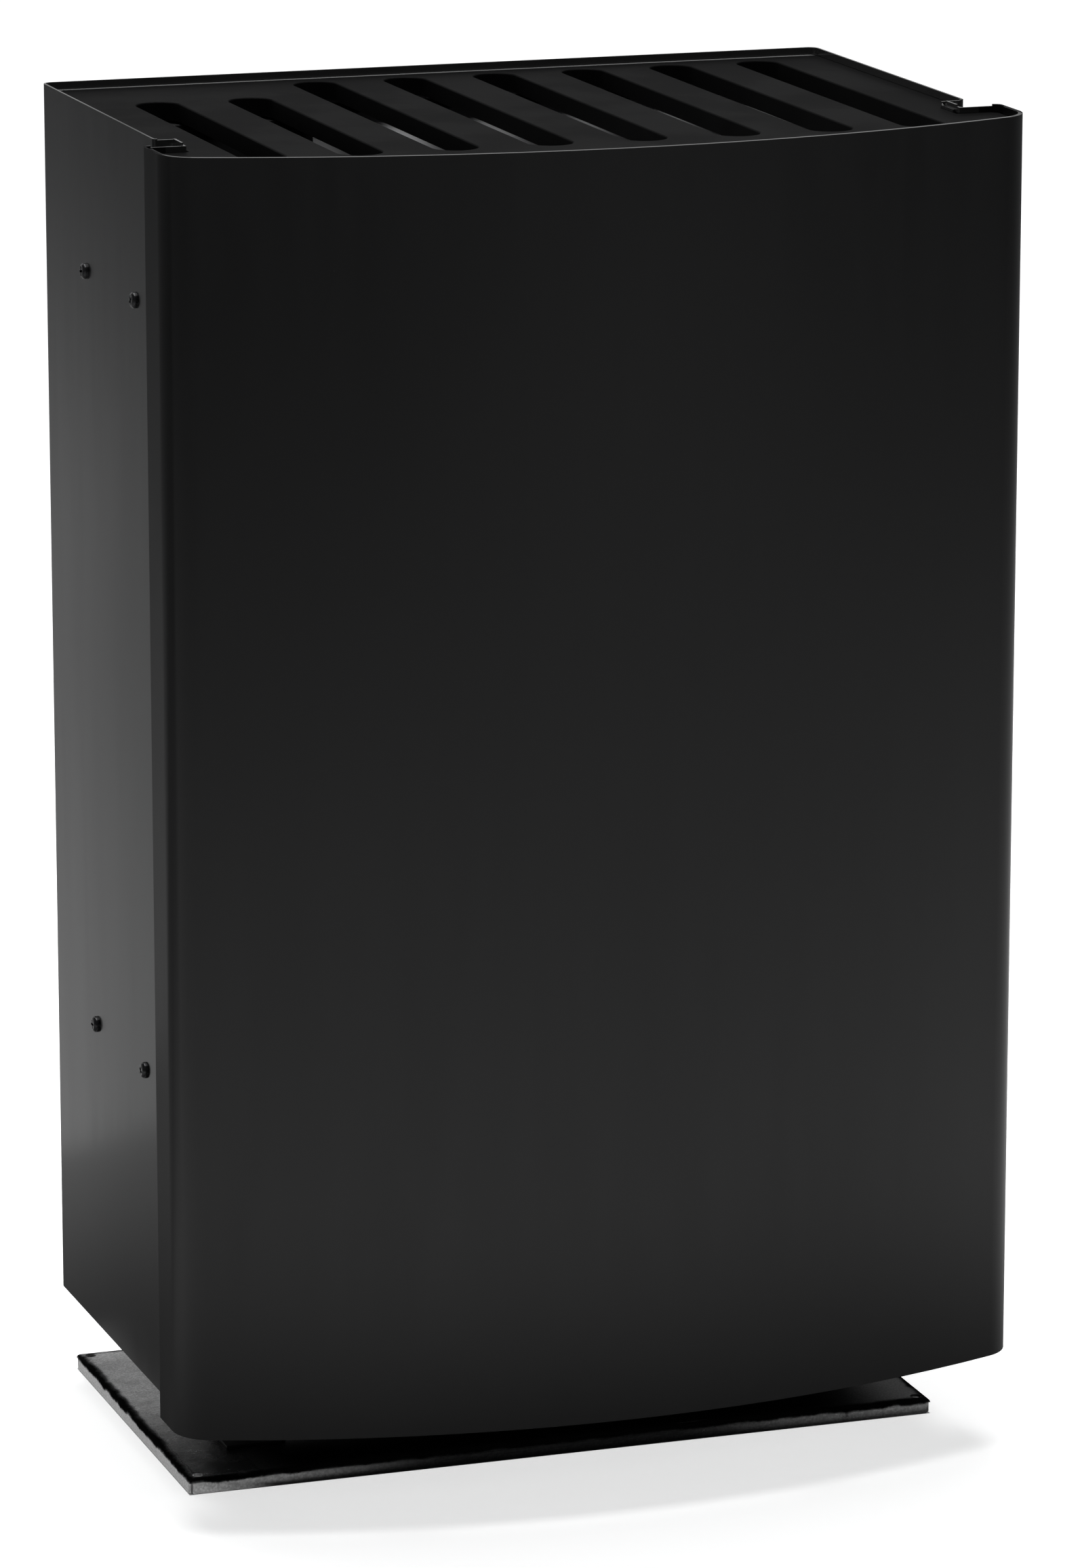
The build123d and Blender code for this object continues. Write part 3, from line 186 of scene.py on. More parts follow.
# %% [markdown]
# ## Studio
# Black gloss has almost no colour of its own: what it shows is the room. One
# wide soft lamp hangs above and lights a pale floor, and two weak ones light the
# floor far in front and far behind. The upright sheets mirror that floor, which
# gives them their slow gradient from dark at the top to grey low down, and dark
# again at the foot, where the floor lies in the object's own shadow.
#
# The floor's paint adds what a small studio would do. To all rays but the camera's
# it has painted shade close to the object and a broad painted shadow behind its left.
# Beside the ends of the plate, and far out, mirrored rays get a little painted light.
# Where the camera looks at the floor it is lifted to white, and it keeps the shadow.

# %% Floor
floor_radius = 14.0
floor_drop = 0.0004
shape = bmesh.new()
bmesh.ops.create_circle(shape, cap_ends=True, segments=96, radius=floor_radius)
floor_mesh = mesh_of(shape, "pale_floor")
floor = bpy.data.objects.new("pale_floor", floor_mesh)
floor.location.z = -floor_drop
scene.collection.objects.link(floor)
print("floor:", 2 * floor_radius, "m across")

# %% Where a point lies from the plate
plate_low, plate_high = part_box("base_plate")
plate_middle = (plate_low + plate_high) / 2
plate_half = (plate_high - plate_low) / 2


def outside(tree, value, middle, half):
    """How far a value lies past half a width from the middle, below zero inside it."""
    off = calc(tree, "ABSOLUTE", calc(tree, "SUBTRACT", value, middle))
    return calc(tree, "SUBTRACT", off, half)


def past_plate(tree, spot):
    """How far a point lies outside the plate's rim, below zero inside it."""
    return largest(tree, *(outside(tree, spot[i], plate_middle[i], plate_half[i]) for i in (0, 1)))


print("plate:", [round(2000 * half, 1) for half in plate_half], "mm")

# %% Floor paint
# Each zone is a fade over metres: start, end, and low and high where they aren't 0 and 1.
white_lift = (0.4, 2.6, 0.66, 1.0)
contact_shade = (0.0, 0.55, 0.33, 1.0)
shadow_edge = (0.57, 0.63, 0.45, 0.78)
shadow_end = (1.8, 2.8, 0.0, 0.22)
behind_zone = (-0.1, 0.17)
left_zone = (0.25, 0.0)
glow_width = (0.09, 0.0)
left_glow = (-0.06, -0.21, 0.0, 0.6)
right_glow = (0.06, 0.26, 0.0, 0.3)
far_glow = (6.0, 11.0, 0.0, 0.4)
floor_tone = 0.86

floor_paint = bpy.data.materials.new("pale_floor")
floor_paint.use_nodes = True
floor_mesh.materials.append(floor_paint)
tree = floor_paint.node_tree
tree.nodes.clear()
camera_ray, mirrored = rays(tree)
place = put(tree, "ShaderNodeTexCoord").outputs["Object"]
reach = vector_calc(tree, "LENGTH", place)
foot = xyz(tree, place)
beyond = [largest(tree, outside(tree, foot[i], 0.0, cad_box[1][i]), 0.0) for i in (0, 1)]
# Painted shade near the object and a painted shadow behind its left, for all rays but the camera's.
contact = fade(tree, vector_calc(tree, "LENGTH", vector(tree, *beyond)), *contact_shade)
cast = calc(tree, "ADD", fade(tree, foot[1], *shadow_edge), fade(tree, foot[1], *shadow_end))
where = times(tree, fade(tree, foot[1], *behind_zone), fade(tree, foot[0], *left_zone))
shaded = calc(tree, "MULTIPLY_ADD", where, calc(tree, "SUBTRACT", cast, 1.0), 1.0)
tone = times(tree, floor_tone, largest(tree, times(tree, contact, shaded), camera_ray))
past = past_plate(tree, foot)
clear = calc(tree, "GREATER_THAN", past, 0.0)
lifted = times(tree, camera_ray, clear, fade(tree, reach, *white_lift))
ends = largest(tree, fade(tree, foot[0], *left_glow), fade(tree, foot[0], *right_glow))
beside = times(tree, fade(tree, past, *glow_width), ends)
shown = times(tree, mirrored, largest(tree, beside, fade(tree, reach, *far_glow)))
paper = put(tree, "ShaderNodeBsdfDiffuse", Color=tone)
glow = put(tree, "ShaderNodeEmission", Strength=calc(tree, "ADD", lifted, shown))
both = put(tree, "ShaderNodeAddShader")
for index, part in enumerate((paper, glow)):
    fill(tree, both.inputs[index], part.outputs[0])
put(tree, "ShaderNodeOutputMaterial", Surface=both.outputs[0])
print("floor paint:", len(tree.nodes), "nodes")

# %% Lamps
scene.view_settings.view_transform = "Standard"


def softbox(name, place, aim, side, power):
    """A square soft lamp that looks from place to aim."""
    data = bpy.data.lights.new(name, "AREA")
    data.shape = "SQUARE"
    data.size = side
    data.energy = power
    lamp = bpy.data.objects.new(name, data)
    lamp.location = place
    lamp.rotation_euler = (Vector(aim) - Vector(place)).to_track_quat("-Z", "Y").to_euler()
    scene.collection.objects.link(lamp)


softbox("key_lamp", (0.0, 0.35, 2.65), (0.0, 0.34, 0.0), 2.2, 68.0)
softbox("fill_lamp", (1.3, -3.6, 2.4), (1.2, -3.6, 0.0), 1.0, 12.0)
softbox("rear_lamp", (-1.2, 3.0, 2.4), (-1.2, 2.9, 0.0), 1.0, 6.0)

# %% Room
# The wall is white to the camera. Mirrored rays see it low down behind the object.
wall_height = (0.5, 0.25, 0.0, 0.5)
wall_behind = (0.0, 0.6)
room = bpy.data.worlds.new("studio")
scene.world = room
room.use_nodes = True
tree = room.node_tree
tree.nodes.clear()
camera_ray, mirrored = rays(tree)
heading = xyz(tree, put(tree, "ShaderNodeTexCoord").outputs["Generated"])
wall = times(tree, fade(tree, heading[2], *wall_height), fade(tree, heading[1], *wall_behind))
seen = largest(tree, camera_ray, times(tree, mirrored, wall))
dim = put(tree, "ShaderNodeBackground", Color=(0.95, 0.97, 1.0, 1.0), Strength=0.06)
bright = put(tree, "ShaderNodeBackground", Color=(1.0, 1.0, 1.0, 1.0), Strength=1.0)
mix = put(tree, "ShaderNodeMixShader", Fac=seen)
for index, part in enumerate((dim, bright), 1):
    fill(tree, mix.inputs[index], part.outputs[0])
put(tree, "ShaderNodeOutputWorld", Surface=mix.outputs[0])
print("room:", len(tree.nodes), "nodes")

# %% [markdown]
# ## Finishes
# A finish is never one flat colour. A finish that needs more starts from blank()
# and takes the steps it wants.

# %% The steps of a finish
finishes = {}


def grey(level, blue=0.0):
    """A grey, a little bluer or yellower where asked."""
    return (level, level, level + blue)


def noise(tree, place, scale, detail=4.0, rough=0.55, stretch=None, warp=0.0):
    """Noise on Object coordinates, stretched along an axis where asked."""
    if stretch:
        place = put(tree, "ShaderNodeMapping", Vector=place, Scale=stretch).outputs[0]
    return put(
        tree, "ShaderNodeTexNoise", Vector=place, Scale=scale, Detail=detail, Roughness=rough,
        Distortion=warp,
    ).outputs[0]


def cells(tree, place, scale, feature="F1"):
    """A pattern of cells: the distance to their middles or edges, and a colour for each."""
    node = put(tree, "ShaderNodeTexVoronoi", Vector=place, Scale=scale)
    node.feature = feature
    return node.outputs


def blend(tree, factor, dark, light):
    """A colour between two colours or colour sockets."""
    node = tree.nodes.new("ShaderNodeMix")
    node.data_type = "RGBA"
    fill(tree, node.inputs[0], factor)
    for index, colour in ((6, dark), (7, light)):
        linked = isinstance(colour, bpy.types.NodeSocket)
        fill(tree, node.inputs[index], colour if linked else (*colour, 1.0))
    return node.outputs[2]


def relief(tree, height, depth, under=None):
    """A bump of that depth in metres, over another one where given."""
    node = put(tree, "ShaderNodeBump", Height=height, Distance=depth, Strength=1.0)
    if under is not None:
        tree.links.new(under, node.inputs["Normal"])
    return node.outputs[0]


def blank(slot, metal=0.0):
    """A new material for a slot: its tree, its shader's sockets and Object coordinates."""
    finishes[slot] = bpy.data.materials.new(slot)
    finishes[slot].use_nodes = True
    tree = finishes[slot].node_tree
    sockets = tree.nodes["Principled BSDF"].inputs
    sockets["Metallic"].default_value = metal
    return tree, sockets, put(tree, "ShaderNodeTexCoord").outputs["Object"]


def patches(tree, place, scale, detail=4.0, stretch=None):
    """Soft patches between 0 and 1."""
    return fade(tree, noise(tree, place, scale, detail, stretch=stretch), 0.34, 0.66)


def gloss(tree, sockets, tone, least, most):
    """Roughness between two values, after a tone."""
    fill(tree, sockets["Roughness"], fade(tree, tone, 0.0, 1.0, least, most))


def grain(tree, sockets, place, scale, depth, stretch=None):
    """A fine relief."""
    fine = noise(tree, place, scale, 2.0, stretch=stretch)
    fill(tree, sockets["Normal"], relief(tree, fine, depth))


def finish(
    slot, dark, light, scale, shine, grain_scale, depth, metal=0.0, detail=4.0, stretch=None
):
    """Tone and roughness from one noise, relief from a finer one."""
    tree, sockets, place = blank(slot, metal)
    tone = patches(tree, place, scale, detail, stretch)
    fill(tree, sockets["Base Color"], blend(tree, tone, dark, light))
    gloss(tree, sockets, tone, *shine)
    grain(tree, sockets, place, grain_scale, depth, stretch)
    return tree, sockets, place


print("finish(): tone, gloss and relief in one call")

# %% [markdown]
# ## Black powder coat
# The body's coat is a hard satin black. Close up it has the slight orange peel
# of melted powder, about a millimetre across. Fine dust lies on it, and more of
# it on the inside of the sunk rim round the top. Cloths have left faint upright
# wipes in its gloss. A very dark colour with a low roughness lets the mirrored
# floor do the shading. The sides are flat in the mesh. Their shading leans forward
# by a few degrees, and that of the cover's returns by more, as if the folded sheet
# had sprung a little, because that sets which part of the floor they mirror.

# %% The lean of the sides
# Fades over metres: start, end, and low and high where they aren't 0 and 1.
housing_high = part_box("housing_wrap")[1]
cover_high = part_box("front_cover")[1]
housing_side = (housing_high.x - 0.0015, housing_high.x - 0.0005)
spring = (0.17, -0.061, 0.0, 0.07)
return_side = (cover_high.x - 0.0035, cover_high.x - 0.0005)
return_flare = (-0.07, -0.078, 0.0, 0.17)

tree, sockets, place = blank("body_black")
spot = xyz(tree, place)
side = calc(tree, "ABSOLUTE", spot[0])
flared = times(tree, fade(tree, spot[1], *return_flare), fade(tree, side, *return_side))
bent = calc(tree, "ADD", fade(tree, spot[1], *spring), flared)
lean = times(tree, fade(tree, side, *housing_side), bent)
true_normal = put(tree, "ShaderNodeNewGeometry").outputs["Normal"]
forward = vector(tree, y=times(tree, lean, -1.0))
leaning = vector_calc(tree, "NORMALIZE", vector_calc(tree, "ADD", true_normal, forward))
peel = noise(tree, place, 900.0, 2.0)
fill(tree, sockets["Normal"], relief(tree, peel, 1.2e-5, leaning))
print("body_black: lean and orange peel")

# %% Powder coat on the body
grille_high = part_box("top_grille")[1]
over_grille = (grille_high.z - 0.0005, grille_high.z + 0.0005)
within_sides = (housing_high.x - 0.0004, housing_high.x - 0.0008)
within_rear = (housing_high.y - 0.0003, housing_high.y - 0.0007)
behind_front = (-0.1, -0.09)

wipe = noise(tree, place, 9.0, 3.0, stretch=(6.0, 6.0, 0.7))
fill(tree, sockets["Roughness"], fade(tree, wipe, 0.3, 0.7, 0.165, 0.215))
flecks = cells(tree, place, 70.0)
chosen = put(tree, "ShaderNodeSeparateColor", Color=flecks["Color"]).outputs[0]
few = fade(tree, chosen, 0.93, 0.97)
speck = times(tree, fade(tree, flecks["Distance"], 0.03, 0.015), few, 0.35)
rim_dust = times(
    tree, fade(tree, spot[2], *over_grille), fade(tree, side, *within_sides),
    fade(tree, spot[1], *within_rear), fade(tree, spot[1], *behind_front),
)
tone = patches(tree, place, 5.0)
coat = blend(tree, tone, grey(0.0022, 0.0001), grey(0.0032, 0.0001))
coat = blend(tree, rim_dust, coat, grey(0.02))
fill(tree, sockets["Base Color"], blend(tree, speck, coat, grey(0.09)))
print("body_black: coat with wipes and dust")

# %% [markdown]
# ## Other sheet finishes
# The inner sheets have the same powder without its gloss. The sunk top is a
# finely speckled matte black, with a pale painted highlight along its rear edge.
# The deflector under it is smooth and shiny, and its streaks of light show
# through the slots. Towards its left end it is painted darker, as shade.

# %% Inner coat, top grille and deflector
painted_highlight_band = (grille_high.y - 0.0034, grille_high.y - 0.0026)
painted_shade_end = (-0.085, -0.03)

tree, sockets, place = finish(
    "inner_black", grey(0.006, 0.0005), grey(0.009, 0.0005), 12.0, (0.42, 0.5), 1400.0, 2.5e-5
)
sockets["Specular IOR Level"].default_value = 0.15

tree, sockets, place = blank("grille_black")
sockets["Specular IOR Level"].default_value = 0.02
tone = patches(tree, place, 14.0)
gloss(tree, sockets, tone, 0.55, 0.62)
grain(tree, sockets, place, 1500.0, 4.0e-5)
fine = fade(tree, noise(tree, place, 2600.0, 1.0), 0.58, 0.74)
speckled = blend(tree, fine, grey(0.0026, 0.0001), grey(0.014, 0.0003))
speckled = blend(tree, times(tree, tone, 0.5), speckled, grey(0.0035, 0.0001))
# Painted highlight: a pale band along the grille's rear edge, where light would catch it.
painted_highlight = fade(tree, xyz(tree, place)[1], *painted_highlight_band)
fill(tree, sockets["Base Color"], blend(tree, painted_highlight, speckled, grey(0.13)))

tree, sockets, place = blank("gloss_black", 0.9)
tone = patches(tree, place, 8.0)
gloss(tree, sockets, tone, 0.44, 0.52)
grain(tree, sockets, place, 300.0, 1.0e-5)
sheen = blend(tree, tone, grey(0.22, 0.005), grey(0.3, 0.005))
# Painted shade: the deflector's colour goes darker towards its left end.
lit = fade(tree, xyz(tree, place)[0], *painted_shade_end)
fill(tree, sockets["Base Color"], blend(tree, lit, grey(0.06, 0.001), sheen))
print("inner_black, grille_black, gloss_black")

# %% [markdown]
# ## Worn floor plate
# The plate lies under everything and has been pushed about. It is bare grey
# steel with grime in a ragged line along the bend, smears and thin scuffs. The
# bend is found from how far a point is from the nearest edge. The steel has painted
# light at the open ends and at the rear, and painted shade, dull and dark, where the
# body stands over it. On the rim that painted shade also deepens towards the floor.

# %% Grime on the floor plate
top = plate_high.z
tree, sockets, place = blank("base_metal")
spot = xyz(tree, place)
blot = noise(tree, place, 70.0, 6.0, 0.65)
fine = noise(tree, place, 800.0, 3.0)
scuff = noise(tree, place, 60.0, 5.0, 0.75, (0.25, 3.0, 1.0), 0.6)
torn = noise(tree, place, 90.0, 7.0, 0.7)


def shaken(tree, value, tear, amount):
    """A distance made uneven by a noise, by at most half the amount either way."""
    return calc(tree, "ADD", value, times(tree, calc(tree, "SUBTRACT", tear, 0.5), amount))


inward = calc(tree, "SUBTRACT", 0.0, past_plate(tree, spot))
near_edge = fade(tree, shaken(tree, inward, torn, 0.007), 0.0068, 0.0014)
near_top = fade(tree, shaken(tree, spot[2], blot, 0.006), top - 0.0035, top - 0.0015)
smear = times(tree, fade(tree, blot, 0.62, 0.78), 0.5)
grime = largest(tree, times(tree, near_edge, near_top), smear)
print("base_metal: grime along the bend, smears")

# %% Steel and painted shade on the floor plate
# Zones of painted light and shade. Fades over metres: start, end, low and high if not 0 and 1.
below_top = (top - 0.0005, top - 0.004)
rim_rise = (0.0, top - 0.002, 0.15, 1.0)
rim_left = (-0.04, -0.225, 0.42, 0.85)
rim_right = (0.05, 0.14, 0.42, 1.0)
rim_corner = (-0.2, -0.23)
left_end = (-0.15, -0.222, 0.0, 0.85)
right_end = (0.14, 0.212, 0.0, 0.22)
rear_open = (-0.05, 0.09)

rim_length = largest(tree, fade(tree, spot[0], *rim_left), fade(tree, spot[0], *rim_right))
rim_height = largest(tree, fade(tree, spot[2], *rim_rise), fade(tree, spot[0], *rim_corner))
painted_rim_light = times(tree, fade(tree, spot[2], *below_top), rim_length, rim_height)
painted_end_light = largest(tree, fade(tree, spot[0], *left_end), fade(tree, spot[0], *right_end))
painted_light_share = largest(tree, painted_rim_light, painted_end_light, fade(tree, spot[1], *rear_open))
painted_light_share = calc(tree, "MULTIPLY_ADD", painted_light_share, 0.99, 0.01)
steel = blend(tree, fade(tree, fine, 0.35, 0.7), grey(0.42), grey(0.68))
# Painted shade: the steel goes near black where the painted light share is low.
steel = blend(tree, painted_light_share, grey(0.006), steel)
steel = blend(tree, times(tree, fade(tree, scuff, 0.63, 0.72), 0.5), steel, grey(0.6))
fill(tree, sockets["Base Color"], blend(tree, grime, steel, grey(0.008)))
clean = fade(tree, grime, 0.0, 1.0, 0.75, 0.05)
fill(tree, sockets["Metallic"], times(tree, clean, fade(tree, painted_light_share, 0.0, 0.4)))
sockets["Specular IOR Level"].default_value = 0.0
dull = largest(tree, times(tree, grime, 0.8), fade(tree, painted_light_share, 0.5, 0.0, 0.0, 0.6))
rolled = fade(tree, blot, 0.3, 0.7, 0.16, 0.3)
fill(tree, sockets["Roughness"], largest(tree, dull, rolled))
fill(tree, sockets["Normal"], relief(tree, fine, 6.0e-5, relief(tree, blot, 1.2e-4)))
print("base_metal: steel, scuffs and shade")

# %% [markdown]
# ## Metals and plastics inside
# These are seen through the slots, at the back and with the door open. Zinc on
# sheet steel grows in flat crystals, so it takes a cell pattern. Drawn and
# turned metal has its noise stretched along the tool's way. Moulded plastic has
# a fine even grain.

# %% Plain metals and plastics
# Dark and light tone, scale of the tone, least and most roughness, scale and
# depth of the grain, and how far it is a metal.
plain = {
    "screw_black": (grey(0.02, 0.001), grey(0.05, 0.002), 160.0, (0.2, 0.3), 1800.0, 1.5e-5, 0.6),
    "motor_alloy": ((0.46, 0.47, 0.48), (0.62, 0.63, 0.64), 60.0, (0.42, 0.56), 650.0, 8.0e-5, 1.0),
    "magnet_grey": (grey(0.1, 0.005), grey(0.15, 0.005), 300.0, (0.45, 0.6), 1500.0, 4.0e-5, 0.4),
    "blade_nickel": ((0.5, 0.49, 0.46), (0.62, 0.61, 0.57), 500.0, (0.2, 0.3), 1500.0, 1.0e-5, 1.0),
    "plastic_black": (grey(0.009, 0.0005), grey(0.013, 0.0005), 18.0, (0.4, 0.5), 1600.0, 4.0e-5),
    "impeller_grey": ((0.17, 0.18, 0.19), (0.23, 0.24, 0.25), 22.0, (0.38, 0.5), 900.0, 4.0e-5),
    "frame_white": (grey(0.68, -0.02), grey(0.78, -0.02), 20.0, (0.42, 0.55), 1200.0, 3.0e-5),
    "switch_grey": (grey(0.2, 0.01), grey(0.26, 0.01), 60.0, (0.45, 0.55), 1500.0, 3.0e-5),
    "knob_grey": (grey(0.075, 0.005), grey(0.1, 0.005), 40.0, (0.5, 0.6), 1800.0, 5.0e-5),
    "rubber_black": (grey(0.012), grey(0.02), 80.0, (0.7, 0.82), 900.0, 5.0e-5),
}
for slot, row in plain.items():
    finish(slot, *row)
print("plain finishes:", len(plain))

# %% Drawn steel, zinc and the board
upright = (1.0, 1.0, 6.0)
lengthwise = (1.0, 9.0, 1.0)
finish(
    "bright_steel", grey(0.52, 0.01), grey(0.66, 0.01), 260.0, (0.22, 0.36), 700.0, 1.0e-5, 1.0,
    stretch=upright,
)
finish(
    "capacitor_grey", grey(0.58, 0.01), grey(0.7, 0.01), 120.0, (0.26, 0.38), 420.0, 2.0e-5, 1.0,
    stretch=lengthwise,
)

tree, sockets, place = blank("galvanised", 1.0)
spangle = put(tree, "ShaderNodeSeparateColor", Color=cells(tree, place, 85.0)["Color"]).outputs[0]
zinc = blend(tree, spangle, (0.4, 0.41, 0.42), (0.62, 0.63, 0.64))
fill(tree, sockets["Base Color"], zinc)
gloss(tree, sockets, spangle, 0.28, 0.46)
grain(tree, sockets, place, 500.0, 1.5e-5)

tree, sockets, place = blank("board_green")
gloss(tree, sockets, patches(tree, place, 30.0), 0.25, 0.35)
grain(tree, sockets, place, 800.0, 1.0e-5)
track = fade(tree, cells(tree, place, 160.0, "DISTANCE_TO_EDGE")["Distance"], 0.05, 0.03)
fill(tree, sockets["Base Color"], blend(tree, track, (0.014, 0.08, 0.036), (0.03, 0.16, 0.06)))
print("bright_steel, capacitor_grey, galvanised, board_green")

# %% [markdown]
# ## Fibre, foam and webbing
# The filter's layers are soft. The pleated medium is a felt of white fibres, the
# mat behind the bars is a loose black fleece loaded with carbon, the seal is
# closed-cell foam, and the pull strap is a plain weave.

# %% Felt, fleece and foam
finish(
    "pleat_white", grey(0.72, -0.02), grey(0.84, -0.02), 45.0, (0.8, 0.92), 2200.0, 1.2e-4,
    detail=6.0,
)

tree, sockets, place = blank("carbon_black")
gloss(tree, sockets, patches(tree, place, 420.0, 8.0), 0.78, 0.92)
strand = noise(tree, place, 900.0, 5.0, 0.7, (0.35, 1.0, 2.2), 2.5)
fibre = blend(tree, fade(tree, strand, 0.42, 0.68), grey(0.006, 0.0005), grey(0.045, 0.001))
fill(tree, sockets["Base Color"], fibre)
fill(tree, sockets["Normal"], relief(tree, strand, 5.0e-4))
sockets["Sheen Weight"].default_value = 0.25
sockets["Sheen Roughness"].default_value = 0.6

tree, sockets, place = blank("foam_grey")
tone = patches(tree, place, 90.0)
fill(tree, sockets["Base Color"], blend(tree, tone, grey(0.09, 0.002), grey(0.13, 0.002)))
gloss(tree, sockets, tone, 0.75, 0.88)
pores = cells(tree, place, 1100.0)["Distance"]
fill(tree, sockets["Normal"], relief(tree, pores, 3.0e-4))
print("pleat_white, carbon_black, foam_grey")

# %% Webbing and thread
yarn = 0.0016


def wave(tree, value):
    """A sine with one turn for every yarn."""
    return calc(tree, "SINE", times(tree, value, 2 * math.pi / yarn))


tree, sockets, place = blank("strap_grey")
gloss(tree, sockets, patches(tree, place, 60.0), 0.7, 0.85)
spot = xyz(tree, place)
weave = calc(tree, "MULTIPLY_ADD", times(tree, wave(tree, spot[0]), wave(tree, spot[2])), 0.5, 0.5)
webbing = blend(tree, weave, (0.15, 0.155, 0.16), (0.33, 0.335, 0.34))
fill(tree, sockets["Base Color"], webbing)
fill(tree, sockets["Normal"], relief(tree, weave, 2.5e-4))
sockets["Sheen Weight"].default_value = 0.2
finish(
    "thread_grey", (0.38, 0.385, 0.39), (0.5, 0.505, 0.51), 900.0, (0.6, 0.7), 2600.0, 3.0e-5
)
print("strap_grey, thread_grey")

# %% Give every node its finish
slot_of = {row["node"]: row["material_slot"] for row in frame["record"]["subparts"]}
for node_name, slot in slot_of.items():
    mesh = nodes[node_name].data
    mesh.materials.clear()
    mesh.materials.append(finishes[slot])
print("finishes:", len(finishes), "for", len(slot_of), "nodes")

# %% [markdown]
# ## Folded sheets
# Cut and coated sheet has no sharp edge: the powder draws back and leaves a
# small radius, and that radius catches the light as a thin bright line. The
# nodes' meshes are loose triangles, so a copy is merged, its flat faces are
# joined, its outer edges get a small bevel, and weighted normals keep the big
# faces flat while the bends shade as true curves. What the bevel leaves behind,
# such as slivers, is cleared. The copy then stands in for the node.

# %% Helpers for pieces
crease = math.radians(32)
body_of_node = {
    node_name: body
    for body, members in frame["record"]["behaviour"]["bodies"].items()
    for node_name in members
}


def settle(piece, node_names):
    """Makes a finished mesh object ride on the body of the nodes it stands for."""
    scene.collection.objects.link(piece)
    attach(piece, body_of_node[node_names[0]])
    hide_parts(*node_names)
    return piece


def baked(maker, name):
    """The mesh that an object's modifiers make. The object itself is removed."""
    scene.collection.objects.link(maker)
    made = maker.evaluated_get(bpy.context.evaluated_depsgraph_get())
    mesh = bpy.data.meshes.new_from_object(made)
    bpy.data.objects.remove(maker)
    mesh.name = name
    return mesh


def weighted(mesh, name):
    """Smooth shading with sharp creases and area-weighted normals."""
    for polygon in mesh.polygons:
        polygon.use_smooth = True
    mesh.set_sharp_from_angle(angle=crease)
    maker = bpy.data.objects.new(name + "_maker", mesh)
    weigh = maker.modifiers.new("weigh", "WEIGHTED_NORMAL")
    weigh.keep_sharp = True
    weigh.weight = 100
    return baked(maker, name)


print("bodies of", len(body_of_node), "nodes")

# %% Helpers for solids in a mesh
merge_distance = 2e-6


def merged(node_name):
    """A node's mesh with its loose triangles joined."""
    shape = bmesh.new()
    shape.from_mesh(nodes[node_name].data)
    bmesh.ops.remove_doubles(shape, verts=shape.verts, dist=merge_distance)
    return shape


def islands(shape):
    """Groups of vertices that hang together."""
    left = set(shape.verts)
    groups = []
    for start in shape.verts:
        if start not in left:
            continue
        left.remove(start)
        group = [start]
        for vert in group:
            for edge in vert.link_edges:
                other = edge.other_vert(vert)
                if other in left:
                    left.remove(other)
                    group.append(other)
        groups.append(group)
    return groups


def box_of(group):
    """Lowest and highest corner of a group of vertices."""
    return [
        Vector([pick(vert.co[i] for vert in group) for i in range(3)]) for pick in (min, max)
    ]


print("helpers: merged, islands, box_of")

# %% Rounded copies of the sheets
flat_angle = math.radians(0.2)
sharp_angle = math.radians(40)
shortest_edge = 0.0009
clean_distance = 1e-6
thinnest_solid = 0.0002


def is_outer(edge):
    """Whether an edge is sharp, convex and long enough to be rounded."""
    return (
        len(edge.link_faces) == 2
        and edge.is_convex
        and edge.calc_face_angle() > sharp_angle
        and edge.calc_length() > shortest_edge
    )


def cleared(shape):
    """Joins points that a bevel left on one another and drops slivers."""
    bmesh.ops.remove_doubles(shape, verts=shape.verts, dist=clean_distance)
    many_sided = [face for face in shape.faces if len(face.verts) > 4]
    bmesh.ops.triangulate(shape, faces=many_sided)
    bmesh.ops.dissolve_degenerate(shape, edges=shape.edges, dist=clean_distance)
    for group in islands(shape):
        low_corner, high_corner = box_of(group)
        if min(high_corner - low_corner) < thinnest_solid:
            bmesh.ops.delete(shape, geom=group, context="VERTS")


def rounded(node_name, radius, ending="sheet"):
    """A merged copy of a node whose outer sharp edges are rounded."""
    name = f"{node_name}_{ending}"
    shape = merged(node_name)
    bmesh.ops.dissolve_limit(
        shape, angle_limit=flat_angle, verts=shape.verts, edges=shape.edges
    )
    sharp = [edge for edge in shape.edges if is_outer(edge)]
    bmesh.ops.bevel(
        shape, geom=sharp, offset=radius, offset_type="OFFSET", segments=2, profile=0.5,
        affect="EDGES", clamp_overlap=True, harden_normals=False,
    )
    cleared(shape)
    piece = bpy.data.objects.new(name, weighted(mesh_of(shape, name), name))
    piece.data.materials.clear()
    piece.data.materials.append(finishes[slot_of[node_name]])
    settle(piece, [node_name])
    print(node_name, "edges:", len(sharp), "faces:", len(piece.data.polygons))
    return piece


sheets = {
    "front_cover": 0.0004, "housing_wrap": 0.0004, "base_plate": 0.0004, "rear_door": 0.0004,
    "top_grille": 0.0003, "control_cup": 0.0004, "stand_left": 0.0004, "stand_right": 0.0004,
}
for node_name, radius in sheets.items():
    rounded(node_name, radius)

# %% Moulded pieces and the paper pleats
rounded("filter_frame", 0.0006, "moulding")
rounded("speed_knob", 0.0003, "moulding")
rounded("power_inlet", 0.0003, "moulding")
rounded("pleat_pack", 0.0004, "paper")

# %% [markdown]
# ## Fasteners
# Every screw and rivet is the same small shape set on many points, so a node
# tree makes it once and copies it. A point carries an axis, the way its head
# looks. The head starts as a cylinder whose rings are drawn in towards the top,
# and two crossed bars are cut out of it for the driver, or a round dimple for a
# rivet. Each one stops at its own angle, so a seeded random turn goes in before
# the copies become real.

